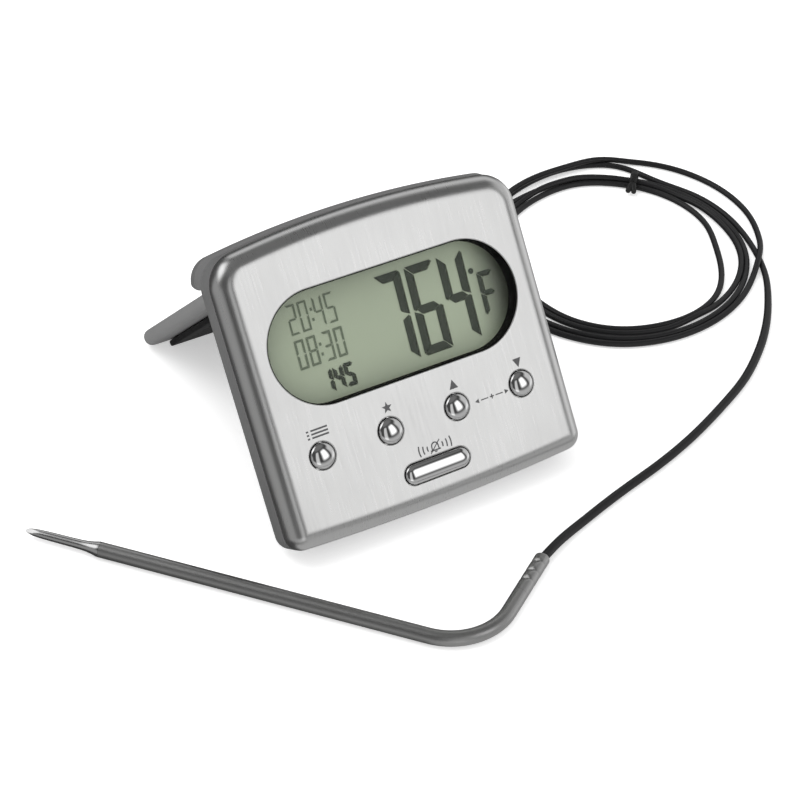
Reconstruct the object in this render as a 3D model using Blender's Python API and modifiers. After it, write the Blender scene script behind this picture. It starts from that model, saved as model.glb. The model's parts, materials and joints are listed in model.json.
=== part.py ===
"""Digital oven-probe meat thermometer, standing open on a table.

A display unit leans back on a fold-out stand. A black probe cable leaves a plug
in its back, lies in a loose coil beside it and ends in a bent steel probe that
lies in front. Units are metres, +Z is up, and the object faces -Y.
"""
import math

import bmesh
import bpy
from mathutils import Euler, Matrix, Vector

# Placing: the case's rest edge is the line that the case stands on.
FOOTPRINT_CENTRE = (-0.0303, 0.0255)    # from the rest edge's middle, in X and Y
LEAN = math.radians(36.9)               # of the face, back from the vertical

# Case, in its own frame: X right, Y up the face, Z out of the face, rear wall at 0
CASE_WIDTH = 0.100
CASE_HEIGHT = 0.0915
TOP_BOW = 0.0040
BOTTOM_BOW = 0.0016
TOP_CORNER = 0.0100
BOTTOM_CORNER = 0.0050
FACE_Z = 0.0138
SEAM_Z = 0.0077
SEAM_GAP = 0.0003
BEZEL_ROUND = 0.0055
BEZEL_SHEET = 0.0009
HOUSING_WALL = 0.0016
HOUSING_ROUND = 0.0012
LIP_OUTER = 0.0013
LIP_INNER = 0.0020
LIP_FRONT_Z = 0.0093
LIP_BACK_Z = 0.0066
HUMP_DEPTH = 0.0134
HUMP_START_Z = -0.0004
HUMP_SIDE_ROUND = 0.0014
HUMP_TOP_ROUND = 0.0014
HUMP_UNDERSIDE_Y = 0.0809
HUMP_CAVITY_Y = 0.0854
HUMP_UNDERSIDE_TILT = math.radians(14)
FOOT_X = 0.034
FOOT_SIZE = (0.012, 0.0020, 0.0024)

# Display
WINDOW_Y = 0.0560
WINDOW_SIZE = (0.0822, 0.0337)
LENS_RIM = 0.0010                       # how far lens and shroud reach past the window
LENS_Z = (0.0119, 0.0126)
SHROUD_Z = (0.0090, 0.0116)
PANEL_SIZE = (0.0840, 0.0362)
PANEL_Z = (0.0077, 0.0087)
ZEBRA_SIZE = (0.0700, 0.0022)
ZEBRA_Z = (0.0071, 0.0074)

# Inside
FRAME_INSET = 0.0065
FRAME_Z = (0.0114, 0.0126)
BOARD_BOX = (-0.040, 0.0035, 0.040, 0.0740)
BOARD_Z = (0.0058, 0.0068)
BOARD_SCREWS = [(-0.038, 0.0064), (0.038, 0.0064), (-0.038, 0.0346), (0.038, 0.0346)]
CASE_SCREWS = [(-0.0445, 0.0070), (0.0445, 0.0070), (-0.0445, 0.0775), (0.0445, 0.0775)]
BOSS_RADIUS = 0.0023
BUZZER_PLACE = (-0.026, 0.0820)
BUZZER_RADIUS = 0.0060
MEMBRANE_BOX = (-0.0372, 0.0082, 0.0372, 0.0315)
MEMBRANE_Z = (0.0071, 0.0078)
MEMBRANE_DOME = 0.0005

# Buttons
BUTTON_Y = 0.0261
BUTTON_PITCH = 0.0225
BUTTON_RADIUS = 0.0038
BUTTON_HOLE = 0.0041
BUTTON_DOME = 0.0016
BUTTON_TRAVEL = 0.0008
BUTTON_NAMES = ["menu_button", "preset_button", "up_button", "down_button"]
PILL_Y = 0.0116
PILL_SIZE = (0.0215, 0.0059)
PILL_HOLE = (0.0221, 0.0065)
PILL_DOME = 0.0013
FLANGE_Z = (0.0102, 0.0111)
STEM_Z = 0.0094

# Coin cell and its cover
CELL_Y = 0.0200
CELL_RADIUS = 0.0100
CELL_Z = (0.0018, 0.0050)
COVER_RADIUS = 0.0120
COVER_HOLE = 0.0123
COVER_THICKNESS = 0.0013
TAB_RADIUS = 0.0131
TAB_Z = (0.0020, 0.0029)
COVER_TURN = math.radians(60)

# Probe jack and plug
JACK_PLACE = (0.0455, 0.0580)
JACK_BOX = (0.0046, 0.0062)
JACK_Z = (0.0019, 0.0090)
JACK_NOSE = 0.0022
JACK_BORE = 0.00155
PLUG_PIN = 0.00125
PLUG_RADIUS = 0.0028
PLUG_Z = (-0.0150, -0.0009)
RELIEF_Z = (-0.0240, -0.0153)

# Stand
HINGE_Y = 0.0783
HINGE_Z = -0.0054
STAND_HALF_WIDTHS = (0.0418, 0.0435)    # at the hinge and at the foot
STAND_LENGTH = 0.0810                    # from the hinge's axis to the foot
STAND_THICKNESS = 0.0052
STAND_CORNER = 0.0050
PAD_WIDTH = 0.0720
PAD_SPAN = (-0.0768, -0.0200)
PAD_THICKNESS = 0.0020
PIN_RADIUS = 0.0011
PIN_BORE = 0.0014
PIN_X = (0.0376, 0.0452)
LUG_X = (0.0424, 0.0462)
LUG_BOTTOM_Y = 0.0754

# Probe, lying on the table, from the rest edge's middle
PROBE_RADIUS = 0.0023
PROBE_TIP_RADIUS = 0.00155
PROBE_POINT = (-0.1105, 0.0431)
PROBE_CORNER = (-0.0185, -0.0609)        # where the two straight runs would meet
PROBE_END = (0.0157, -0.0383)
PROBE_BEND = 0.0190
TIP_LENGTH = 0.0205
CRIMP_LENGTH = 0.0165

# Cable
CABLE_RADIUS = 0.0014
COIL_CENTRE = (0.121, 0.076)
COIL_RADII = (0.034, 0.057)
COIL_HEIGHT = 0.0066
TIE_ANGLE = math.radians(41)
LEAD_POINTS = [(0.0456, 0.0626, 0.0246), (0.0462, 0.0692, 0.0178), (0.0472, 0.0752, 0.0104),
               (0.0496, 0.0806, 0.0044), (0.0538, 0.0846, 0.0017), (0.0592, 0.0862, 0.0015)]
TAIL_POINTS = [(0.1462, 0.0222), (0.1412, 0.0178), (0.1265, 0.0052), (0.1146, -0.0026), (0.0987, -0.0104),
               (0.0847, -0.0162), (0.0697, -0.0211), (0.0524, -0.0255), (0.0362, -0.0303),
               (0.0256, -0.0340)]

TOUCH_GAP = 0.0003
ROUND_STEPS = 24
SMALL_STEPS = 16


def clear_scene():
    for obj in list(bpy.data.objects):
        bpy.data.objects.remove(obj, do_unlink=True)


def make_collection(name):
    collection = bpy.data.collections.new(name)
    bpy.context.scene.collection.children.link(collection)
    return collection


def make_material(name, color, roughness, metallic=0.0, alpha=1.0):
    material = bpy.data.materials.new(name)
    material.use_nodes = True
    shader = material.node_tree.nodes["Principled BSDF"]
    shader.inputs["Base Color"].default_value = (*color, 1.0)
    shader.inputs["Roughness"].default_value = roughness
    shader.inputs["Metallic"].default_value = metallic
    shader.inputs["Alpha"].default_value = alpha
    return material


clear_scene()
PARTS = make_collection("meat_thermometer")
CUTTERS = make_collection("cutters")
STEEL = make_material("brushed_steel", (0.62, 0.62, 0.61), 0.35, 1.0)
CHROME = make_material("chrome", (0.80, 0.80, 0.80), 0.08, 1.0)
SPRING_STEEL = make_material("spring_steel", (0.55, 0.55, 0.53), 0.30, 1.0)
GREY_PLASTIC = make_material("grey_plastic", (0.16, 0.16, 0.16), 0.45)
BLACK_PLASTIC = make_material("black_plastic", (0.02, 0.02, 0.02), 0.50)
BLACK_RUBBER = make_material("black_rubber", (0.015, 0.015, 0.015), 0.75)
CLEAR_PLASTIC = make_material("clear_plastic", (0.90, 0.92, 0.90), 0.05, 0.0, 0.30)
LCD_GLASS = make_material("lcd_glass", (0.36, 0.42, 0.30), 0.25)
BOARD_GREEN = make_material("circuit_board", (0.02, 0.16, 0.06), 0.45)
SILICONE = make_material("silicone", (0.30, 0.31, 0.32), 0.60)
BRASS = make_material("brass", (0.60, 0.45, 0.18), 0.35, 1.0)
CERAMIC = make_material("ceramic", (0.75, 0.72, 0.65), 0.50)
CABLE = make_material("cable_jacket", (0.02, 0.02, 0.02), 0.55)


def make_empty(name, location=(0, 0, 0), rotation=(0, 0, 0), parent=None):
    empty = bpy.data.objects.new(name, None)
    empty.location = location
    empty.rotation_euler = rotation
    empty.parent = parent
    bpy.context.scene.collection.objects.link(empty)
    return empty


OBJECT_FRAME = make_empty("thermometer", (-FOOTPRINT_CENTRE[0], -FOOTPRINT_CENTRE[1], 0))
CASE_FRAME = make_empty("case_frame", rotation=(math.pi / 2 - LEAN, 0, 0), parent=OBJECT_FRAME)
CASE_TO_TABLE = Euler((math.pi / 2 - LEAN, 0, 0)).to_matrix()


def place(obj, material, parent, location=(0, 0, 0), rotation=(0, 0, 0)):
    """Put an object in the part's collection, or with the cutters when it has no material."""
    obj.location = location
    obj.rotation_euler = rotation
    obj.parent = parent
    if material is None:
        CUTTERS.objects.link(obj)
        obj.hide_render = True
        obj.display_type = "WIRE"
    else:
        PARTS.objects.link(obj)
        obj.data.materials.append(material)
    return obj


def mesh_object(name, bm):
    bmesh.ops.recalc_face_normals(bm, faces=bm.faces)
    mesh = bpy.data.meshes.new(name)
    bm.to_mesh(mesh)
    bm.free()
    mesh.shade_smooth()
    mesh.set_sharp_from_angle(angle=math.radians(35))
    return bpy.data.objects.new(name, mesh)


def box(name, low, high):
    bm = bmesh.new()
    bmesh.ops.create_cube(bm, size=1.0)
    size = Vector(high) - Vector(low)
    bmesh.ops.scale(bm, vec=size, verts=bm.verts)
    bmesh.ops.translate(bm, vec=Vector(low) + size / 2, verts=bm.verts)
    return mesh_object(name, bm)


def cylinder(name, radius, low, high, steps=ROUND_STEPS, end_radius=None):
    """A cylinder or cone along Z from low to high."""
    bm = bmesh.new()
    top = radius if end_radius is None else end_radius
    bmesh.ops.create_cone(bm, cap_ends=True, segments=steps, radius1=radius, radius2=top, depth=high - low)
    bmesh.ops.translate(bm, vec=(0, 0, (low + high) / 2), verts=bm.verts)
    return mesh_object(name, bm)


def turned(name, profile, steps=ROUND_STEPS):
    """A solid turned about Z; the profile runs down its outer side, from axis to axis."""
    mesh = bpy.data.meshes.new(name)
    verts = [(radius, 0, height) for radius, height in profile]
    mesh.from_pydata(verts, [(i, i + 1) for i in range(len(verts) - 1)], [])
    obj = bpy.data.objects.new(name, mesh)
    screw = obj.modifiers.new("turn", "SCREW")
    screw.steps = steps
    screw.render_steps = steps
    screw.use_merge_vertices = True
    screw.merge_threshold = 0.00001
    return obj


def curve_to_mesh(name, curve):
    """Turn a curve into a closed mesh object, its loose caps welded."""
    source = bpy.data.objects.new(name, curve)
    bpy.context.scene.collection.objects.link(source)
    bpy.context.view_layer.update()
    evaluated = source.evaluated_get(bpy.context.evaluated_depsgraph_get())
    mesh = bpy.data.meshes.new_from_object(evaluated)
    bpy.data.objects.remove(source, do_unlink=True)
    bm = bmesh.new()
    bm.from_mesh(mesh)
    bmesh.ops.remove_doubles(bm, verts=bm.verts, dist=0.00001)
    bpy.data.meshes.remove(mesh)
    return mesh_object(name, bm)


def plate(name, outline, low, high):
    """A flat outline in XY, extruded along Z from low to high."""
    curve = bpy.data.curves.new(name, "CURVE")
    curve.dimensions = "2D"
    curve.fill_mode = "BOTH"
    curve.extrude = (high - low) / 2
    spline = curve.splines.new("POLY")
    spline.points.add(len(outline) - 1)
    for point, (x, y) in zip(spline.points, outline):
        point.co = (x, y, 0, 1)
    spline.use_cyclic_u = True
    obj = curve_to_mesh(name, curve)
    obj.data.transform(Matrix.Translation((0, 0, (low + high) / 2)))
    return obj


def tube(name, points, radius, material, bevel_resolution=2):
    """A round tube through the points, with filled caps, placed on the table's frame."""
    curve = bpy.data.curves.new(name, "CURVE")
    curve.dimensions = "3D"
    curve.bevel_depth = radius
    curve.bevel_resolution = bevel_resolution
    curve.use_fill_caps = True
    spline = curve.splines.new("POLY")
    spline.points.add(len(points) - 1)
    for point, place_of in zip(spline.points, points):
        point.co = (*place_of, 1)
    return place(bpy.data.objects.new(name, curve), material, OBJECT_FRAME)


def loft(name, sections):
    """Join equal-length closed sections in order, with a flat cap on the first and last."""
    bm = bmesh.new()
    rings = [[bm.verts.new(point) for point in section] for section in sections]
    count = len(rings[0])
    for ring, following in zip(rings, rings[1:]):
        for i in range(count):
            j = (i + 1) % count
            bm.faces.new((ring[i], ring[j], following[j], following[i]))
    bm.faces.new(rings[0])
    bm.faces.new(rings[-1])
    return mesh_object(name, bm)


def combine(target, tool, operation="DIFFERENCE"):
    modifier = target.modifiers.new(tool.name, "BOOLEAN")
    modifier.operation = operation
    modifier.object = tool
    modifier.solver = "EXACT"


def cut_with(target, tool, parent=CASE_FRAME, location=(0, 0, 0), operation="DIFFERENCE"):
    """Place a tool in the cutters' collection and combine it with the target."""
    place(tool, None, parent, location)
    combine(target, tool, operation)


def arc(centre, radius, start, end, steps):
    return [(centre[0] + radius * math.cos(start + (end - start) * i / steps),
             centre[1] + radius * math.sin(start + (end - start) * i / steps)) for i in range(steps + 1)]


def stadium(length, height, steps=10):
    """A slot shape about the origin: two half circles joined by straight sides."""
    radius = height / 2
    reach = length / 2 - radius
    right = arc((reach, 0), radius, -math.pi / 2, math.pi / 2, steps)
    left = arc((-reach, 0), radius, math.pi / 2, 3 * math.pi / 2, steps)
    return right + left


def rounded_rectangle(low_x, low_y, high_x, high_y, radius, steps=4):
    corners = [((high_x - radius, low_y + radius), -math.pi / 2), ((high_x - radius, high_y - radius), 0),
               ((low_x + radius, high_y - radius), math.pi / 2), ((low_x + radius, low_y + radius), math.pi)]
    points = []
    for centre, start in corners:
        points += arc(centre, radius, start, start + math.pi / 2, steps)
    return points


def widened(size, rim):
    return [side + 2 * rim for side in size]


def shifted(points, x, y):
    return [(px + x, py + y) for px, py in points]


def case_outline(inset=0.0, top_inset=None):
    """The case seen from the front: bowed top and bottom, straight sides, round corners."""
    top_inset = inset if top_inset is None else top_inset
    half = CASE_WIDTH / 2
    top_arc = (half ** 2 + TOP_BOW ** 2) / (2 * TOP_BOW)
    bottom_arc = (half ** 2 + BOTTOM_BOW ** 2) / (2 * BOTTOM_BOW)
    side = half - inset
    smallest = 0.0006
    top_radius = max(TOP_CORNER - max(inset, top_inset), smallest)
    bottom_radius = max(BOTTOM_CORNER - inset, smallest)
    top_x = side - top_radius
    bottom_x = side - bottom_radius
    arc_y = CASE_HEIGHT - top_arc
    top_y = arc_y + math.sqrt((top_arc - top_inset - top_radius) ** 2 - top_x ** 2)
    bottom_y = bottom_arc - math.sqrt((bottom_arc - inset - bottom_radius) ** 2 - bottom_x ** 2)
    top_angle = math.atan2(top_y - arc_y, top_x)
    bottom_angle = math.atan2(bottom_y - bottom_arc, bottom_x)
    points = arc((bottom_x, bottom_y), bottom_radius, bottom_angle, 0, 4)
    points += arc((top_x, top_y), top_radius, 0, top_angle, 6)
    points += arc((0, arc_y), top_arc - top_inset, top_angle, math.pi - top_angle, 10)[1:-1]
    points += arc((-top_x, top_y), top_radius, math.pi - top_angle, math.pi, 6)
    points += arc((-bottom_x, bottom_y), bottom_radius, math.pi, math.pi - bottom_angle, 4)
    points += arc((0, bottom_arc), bottom_arc - inset, math.pi - bottom_angle, 2 * math.pi + bottom_angle, 8)[1:-1]
    return points


def section(z, inset, top_inset=None):
    return [(x, y, z) for x, y in case_outline(inset, top_inset)]


def quarter_round(start_z, depth, side_inset, top_inset, steps, first=0):
    """Sections of an edge that turns from the side wall to a flat face at start_z + depth."""
    rows = []
    for i in range(first, steps + 1):
        angle = math.pi / 2 * i / steps
        closing = 1 - math.cos(angle)
        rows.append(section(start_z + depth * math.sin(angle), side_inset[0] + side_inset[1] * closing,
                            top_inset[0] + top_inset[1] * closing))
    return rows


# ---------------------------------------------------------------- case

def button_places():
    return [((i - 1.5) * BUTTON_PITCH, BUTTON_Y) for i in range(4)]


def cut_button_holes(target, tag, low, high):
    for i, (x, y) in enumerate(button_places()):
        cut_with(target, cylinder(f"{tag}_button_hole_{i + 1}", BUTTON_HOLE, low, high), location=(x, y, 0))
    pill_hole = plate(f"{tag}_pill_hole", shifted(stadium(*PILL_HOLE, 8), 0, PILL_Y), low, high)
    cut_with(target, pill_hole)


def make_front_bezel():
    back_z = SEAM_Z + SEAM_GAP
    round_z = FACE_Z - BEZEL_ROUND
    inner_round = BEZEL_ROUND - BEZEL_SHEET
    inner = quarter_round(round_z, inner_round, (BEZEL_SHEET, inner_round), (BEZEL_SHEET, inner_round), 5)
    outer = quarter_round(round_z, BEZEL_ROUND, (0, BEZEL_ROUND), (0, BEZEL_ROUND), 6)
    rows = inner[::-1] + [section(back_z, BEZEL_SHEET), section(back_z, 0)] + outer
    bezel = place(loft("front_bezel", rows), STEEL, CASE_FRAME)
    window = shifted(stadium(*WINDOW_SIZE, 14), 0, WINDOW_Y)
    cut_with(bezel, plate("bezel_window", window, back_z, FACE_Z + 0.002))
    cut_button_holes(bezel, "bezel", back_z, FACE_Z + 0.002)


def make_inner_frame():
    frame = place(plate("inner_frame", case_outline(FRAME_INSET), *FRAME_Z), BLACK_PLASTIC, CASE_FRAME)
    window = shifted(stadium(*widened(WINDOW_SIZE, LENS_RIM + TOUCH_GAP), 14), 0, WINDOW_Y)
    cut_with(frame, plate("frame_window", window, FRAME_Z[0] - 0.001, FRAME_Z[1] + 0.001))
    cut_button_holes(frame, "frame", FRAME_Z[0] - 0.001, FRAME_Z[1] + 0.001)
    case_boss = (0.0022, FRAME_Z[0] + 0.0004)
    board_boss = (BOARD_Z[1] + TOUCH_GAP, FRAME_Z[0] + 0.0004)
    for tag, places, span, bore in (("case", CASE_SCREWS, case_boss, 0.0012),
                                    ("board", BOARD_SCREWS, board_boss, 0.00115)):
        for i, (x, y) in enumerate(places):
            boss = cylinder(f"{tag}_boss_{i + 1}", BOSS_RADIUS, *span, SMALL_STEPS)
            cut_with(frame, boss, location=(x, y, 0), operation="UNION")
            pilot = cylinder(f"{tag}_pilot_{i + 1}", bore, span[0] - 0.001, FRAME_Z[0] - 0.0006, 12)
            cut_with(frame, pilot, location=(x, y, 0))


def make_display():
    rim = shifted(stadium(*widened(WINDOW_SIZE, LENS_RIM), 14), 0, WINDOW_Y)
    place(plate("lcd_lens", rim, *LENS_Z), CLEAR_PLASTIC, CASE_FRAME)
    shroud = place(plate("lcd_shroud", rim, *SHROUD_Z), BLACK_PLASTIC, CASE_FRAME)
    window = shifted(stadium(*WINDOW_SIZE, 14), 0, WINDOW_Y)
    cut_with(shroud, plate("shroud_opening", window, SHROUD_Z[0] - 0.001, SHROUD_Z[1] + 0.001))
    width, height = PANEL_SIZE
    glass = rounded_rectangle(-width / 2, WINDOW_Y - height / 2, width / 2, WINDOW_Y + height / 2, 0.001, 2)
    place(plate("lcd_panel", glass, *PANEL_Z), LCD_GLASS, CASE_FRAME)
    zebra_y = WINDOW_Y - PANEL_SIZE[1] / 2 + 0.0016
    strip = box("zebra_strip", (-ZEBRA_SIZE[0] / 2, zebra_y - ZEBRA_SIZE[1] / 2, ZEBRA_Z[0]),
                (ZEBRA_SIZE[0] / 2, zebra_y + ZEBRA_SIZE[1] / 2, ZEBRA_Z[1]))
    place(strip, SILICONE, CASE_FRAME)


def make_board():
    board = place(plate("main_board", rounded_rectangle(*BOARD_BOX, 0.001, 2), *BOARD_Z), BOARD_GREEN, CASE_FRAME)
    head_z = BOARD_Z[0] - TOUCH_GAP
    for i, (x, y) in enumerate(BOARD_SCREWS):
        hole = cylinder(f"board_hole_{i + 1}", 0.00115, BOARD_Z[0] - 0.001, BOARD_Z[1] + 0.001, 12)
        cut_with(board, hole, location=(x, y, 0))
        profile = [(0, 0.0096), (0.0008, 0.0096), (0.0008, head_z), (0.0018, head_z),
                   (0.0018, head_z - 0.0006), (0.0010, head_z - 0.0010), (0, head_z - 0.0010)]
        screw = turned(f"board_screw_{i + 1}", profile, 12)
        place(screw, SPRING_STEEL, CASE_FRAME, (x, y, 0))
    membrane = plate("keypad_membrane", rounded_rectangle(*MEMBRANE_BOX, 0.002, 3), *MEMBRANE_Z)
    place(membrane, SILICONE, CASE_FRAME)
    for i, (x, y) in enumerate(button_places() + [(-0.006, PILL_Y), (0.006, PILL_Y)]):
        dome = cylinder(f"membrane_dome_{i + 1}", 0.0028, MEMBRANE_Z[0] + 0.0003,
                        MEMBRANE_Z[1] + MEMBRANE_DOME, SMALL_STEPS, 0.0020)
        cut_with(membrane, dome, location=(x, y, 0), operation="UNION")
    buzzer_profile = [(0, 0.0056), (0.0048, 0.0056), (BUZZER_RADIUS, 0.0046),
                      (BUZZER_RADIUS, 0.0020), (0, 0.0020)]
    place(turned("piezo_buzzer", buzzer_profile), BLACK_PLASTIC, CASE_FRAME, (*BUZZER_PLACE, 0))


def hump_solid(name, shrink, front_z, floor_y):
    """The thick brow along the case's top, or its hollow when shrunk."""
    depth = HUMP_DEPTH - shrink
    sides = (shrink, HUMP_SIDE_ROUND)
    tops = (shrink, HUMP_TOP_ROUND)
    rows = [section(front_z, shrink)]
    for i in range(7):
        angle = math.pi / 2 * i / 6
        closing = 1 - math.cos(angle)
        z = HUMP_START_Z - (depth + HUMP_START_Z) * math.sin(angle)
        rows.append(section(z, sides[0] + sides[1] * closing, tops[0] + tops[1] * closing))
    hump = loft(name, rows)
    keep = box(f"{name}_keep", (-0.06, 0, -0.03), (0.06, 0.03, 0.03))
    place(keep, None, CASE_FRAME, (0, floor_y, 0), (HUMP_UNDERSIDE_TILT, 0, 0))
    combine(hump, keep, "INTERSECT")
    return hump


def make_rear_housing():
    wall = HOUSING_WALL
    rows = [section(wall, wall), section(LIP_BACK_Z, wall), section(LIP_BACK_Z, LIP_INNER),
            section(LIP_FRONT_Z, LIP_INNER), section(LIP_FRONT_Z, LIP_OUTER), section(SEAM_Z, LIP_OUTER),
            section(SEAM_Z, 0)]
    rows += quarter_round(HOUSING_ROUND, -HOUSING_ROUND, (0, HOUSING_ROUND), (0, HOUSING_ROUND), 3)
    housing = place(loft("rear_housing", rows), GREY_PLASTIC, CASE_FRAME)
    cut_with(housing, hump_solid("hump", 0.0, HOUSING_ROUND, HUMP_UNDERSIDE_Y), operation="UNION")
    for side, sign in (("left", -1), ("right", 1)):
        xs = sorted((sign * LUG_X[0], sign * LUG_X[1]))
        lug = box(f"hinge_lug_{side}", (xs[0], LUG_BOTTOM_Y, -0.0080), (xs[1], 0.0845, 0.0008))
        cut_with(housing, lug, operation="UNION")
        foot = box(f"moulded_foot_{side}", (-FOOT_SIZE[0] / 2, -FOOT_SIZE[1] / 2, 0),
                   (FOOT_SIZE[0] / 2, FOOT_SIZE[1] / 2, FOOT_SIZE[2]))
        cut_with(housing, foot, OBJECT_FRAME, (sign * FOOT_X, 0, 0), "UNION")
    hollow = loft("housing_hollow", [section(0.012, LIP_INNER), section(wall, LIP_INNER)])
    cut_with(housing, hollow)
    cut_with(housing, hump_solid("hump_hollow", 0.0018, 0.0060, HUMP_CAVITY_Y))
    trough = cylinder("stand_trough", 0.0032, -0.0421, 0.0421)
    place(trough, None, CASE_FRAME, (0, HINGE_Y, HINGE_Z), (0, math.pi / 2, 0))
    combine(housing, trough)
    for side, sign in (("left", -1), ("right", 1)):
        low, high = sorted((sign * 0.0412, sign * (PIN_X[1] + TOUCH_GAP)))
        bore = cylinder(f"lug_bore_{side}", PIN_BORE, low, high, SMALL_STEPS)
        place(bore, None, CASE_FRAME, (0, HINGE_Y, HINGE_Z), (0, math.pi / 2, 0))
        combine(housing, bore)
    cut_with(housing, cylinder("jack_hole", JACK_NOSE + TOUCH_GAP, -0.001, 0.003, SMALL_STEPS),
             location=(*JACK_PLACE, 0))
    for i, (x, y) in enumerate(CASE_SCREWS):
        cut_with(housing, cylinder(f"screw_hole_{i + 1}", 0.0012, -0.001, 0.003, 12), location=(x, y, 0))
        cut_with(housing, cylinder(f"screw_recess_{i + 1}", 0.0023, -0.001, 0.0009, SMALL_STEPS),
                 location=(x, y, 0))
    cut_with(housing, cylinder("cover_hole", COVER_HOLE, -0.001, 0.003), location=(0, CELL_Y, 0))
    notch = box("cover_notch", (-TAB_RADIUS - TOUCH_GAP, -0.0024, -0.001), (TAB_RADIUS + TOUCH_GAP, 0.0024, 0.003))
    place(notch, None, CASE_FRAME, (0, CELL_Y, 0), (0, 0, COVER_TURN))
    combine(housing, notch)


def make_case_screws():
    for i, (x, y) in enumerate(CASE_SCREWS):
        profile = [(0, 0.0086), (0.0009, 0.0080), (0.0009, 0.0012 + TOUCH_GAP), (0.0009, 0.0006),
                   (0.0019, 0.0006), (0.0019, 0.0001), (0.0012, -0.0003), (0, -0.0003)]
        place(turned(f"case_screw_{i + 1}", profile, 12), SPRING_STEEL, CASE_FRAME, (x, y, 0))


def make_battery():
    cell_profile = [(0, CELL_Z[1]), (0.0088, CELL_Z[1]), (0.0088, CELL_Z[1] - 0.0004),
                    (CELL_RADIUS, CELL_Z[1] - 0.0004), (CELL_RADIUS, CELL_Z[0]), (0, CELL_Z[0])]
    place(turned("coin_cell", cell_profile), SPRING_STEEL, CASE_FRAME, (0, CELL_Y, 0))
    leaf = box("contact_leaf", (-0.0030, CELL_Y - 0.0070, 0.00525), (0.0030, CELL_Y + 0.0070, 0.00555))
    place(leaf, BRASS, CASE_FRAME)
    clip_x = CELL_RADIUS + TOUCH_GAP
    clip = box("contact_clip", (clip_x, CELL_Y - 0.0025, 0.0033), (clip_x + 0.0004, CELL_Y + 0.0025, 0.0055))
    place(clip, BRASS, CASE_FRAME)

    cover_profile = [(0, COVER_THICKNESS), (0.0107, COVER_THICKNESS), (0.0107, TAB_Z[1]),
                     (0.0117, TAB_Z[1]), (0.0117, COVER_THICKNESS), (COVER_RADIUS, COVER_THICKNESS),
                     (COVER_RADIUS, 0.0003), (COVER_RADIUS - 0.0003, 0), (0, 0)]
    cover = place(turned("battery_cover", cover_profile), GREY_PLASTIC, CASE_FRAME, (0, CELL_Y, 0))
    for side, sign in (("left", -1), ("right", 1)):
        xs = sorted((sign * 0.0112, sign * TAB_RADIUS))
        tab = box(f"cover_tab_{side}", (xs[0], -0.0020, TAB_Z[0]), (xs[1], 0.0020, TAB_Z[1]))
        cut_with(cover, tab, location=(0, CELL_Y, 0), operation="UNION")
    slot = box("coin_slot", (-0.0070, -0.0008, -0.001), (0.0070, 0.0008, 0.0006))
    cut_with(cover, slot, location=(0, CELL_Y, 0))


# ---------------------------------------------------------------- buttons

def make_round_button(name, x, y):
    dome = [(BUTTON_RADIUS * math.sin(math.radians(a)), BUTTON_DOME * math.cos(math.radians(a)))
            for a in range(0, 91, 15)]
    rise = FACE_Z
    profile = [(radius, rise + height) for radius, height in dome]
    profile += [(BUTTON_RADIUS, FLANGE_Z[1]), (BUTTON_RADIUS + 0.0009, FLANGE_Z[1]),
                (BUTTON_RADIUS + 0.0009, FLANGE_Z[0]), (0.0018, FLANGE_Z[0]), (0.0018, STEM_Z), (0, STEM_Z)]
    profile = [(radius, height - FACE_Z) for radius, height in profile]
    place(turned(name, profile), CHROME, CASE_FRAME, (x, y, FACE_Z))


def make_pill_button():
    length, height = PILL_SIZE
    rows = []
    for size, z in ((0.0030, STEM_Z), (0.0030, FLANGE_Z[0])):
        rows.append([(x, y, z - FACE_Z) for x, y in stadium(length - height + size, size, 6)])
    for grow, z in ((0.0018, FLANGE_Z[0]), (0.0018, FLANGE_Z[1]), (0, FLANGE_Z[1]), (0, FACE_Z)):
        rows.append([(x, y, z - FACE_Z) for x, y in stadium(length + grow, height + grow, 6)])
    for angle in (25, 50, 72):
        shrink = height * (1 - math.cos(math.radians(angle)))
        z = PILL_DOME * math.sin(math.radians(angle))
        rows.append([(x, y, z) for x, y in stadium(length - shrink, height - shrink, 6)])
    place(loft("alarm_off_button", rows), CHROME, CASE_FRAME, (0, PILL_Y, FACE_Z))


# ---------------------------------------------------------------- stand

def stand_open_angle():
    """How far the stand swings from folded until its foot meets the table."""
    hinge = CASE_TO_TABLE @ Vector((0, HINGE_Y, HINGE_Z))
    foot_radius = STAND_THICKNESS / 2
    return LEAN + math.acos((hinge.z - foot_radius - TOUCH_GAP / 3) / (STAND_LENGTH - foot_radius))


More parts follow.
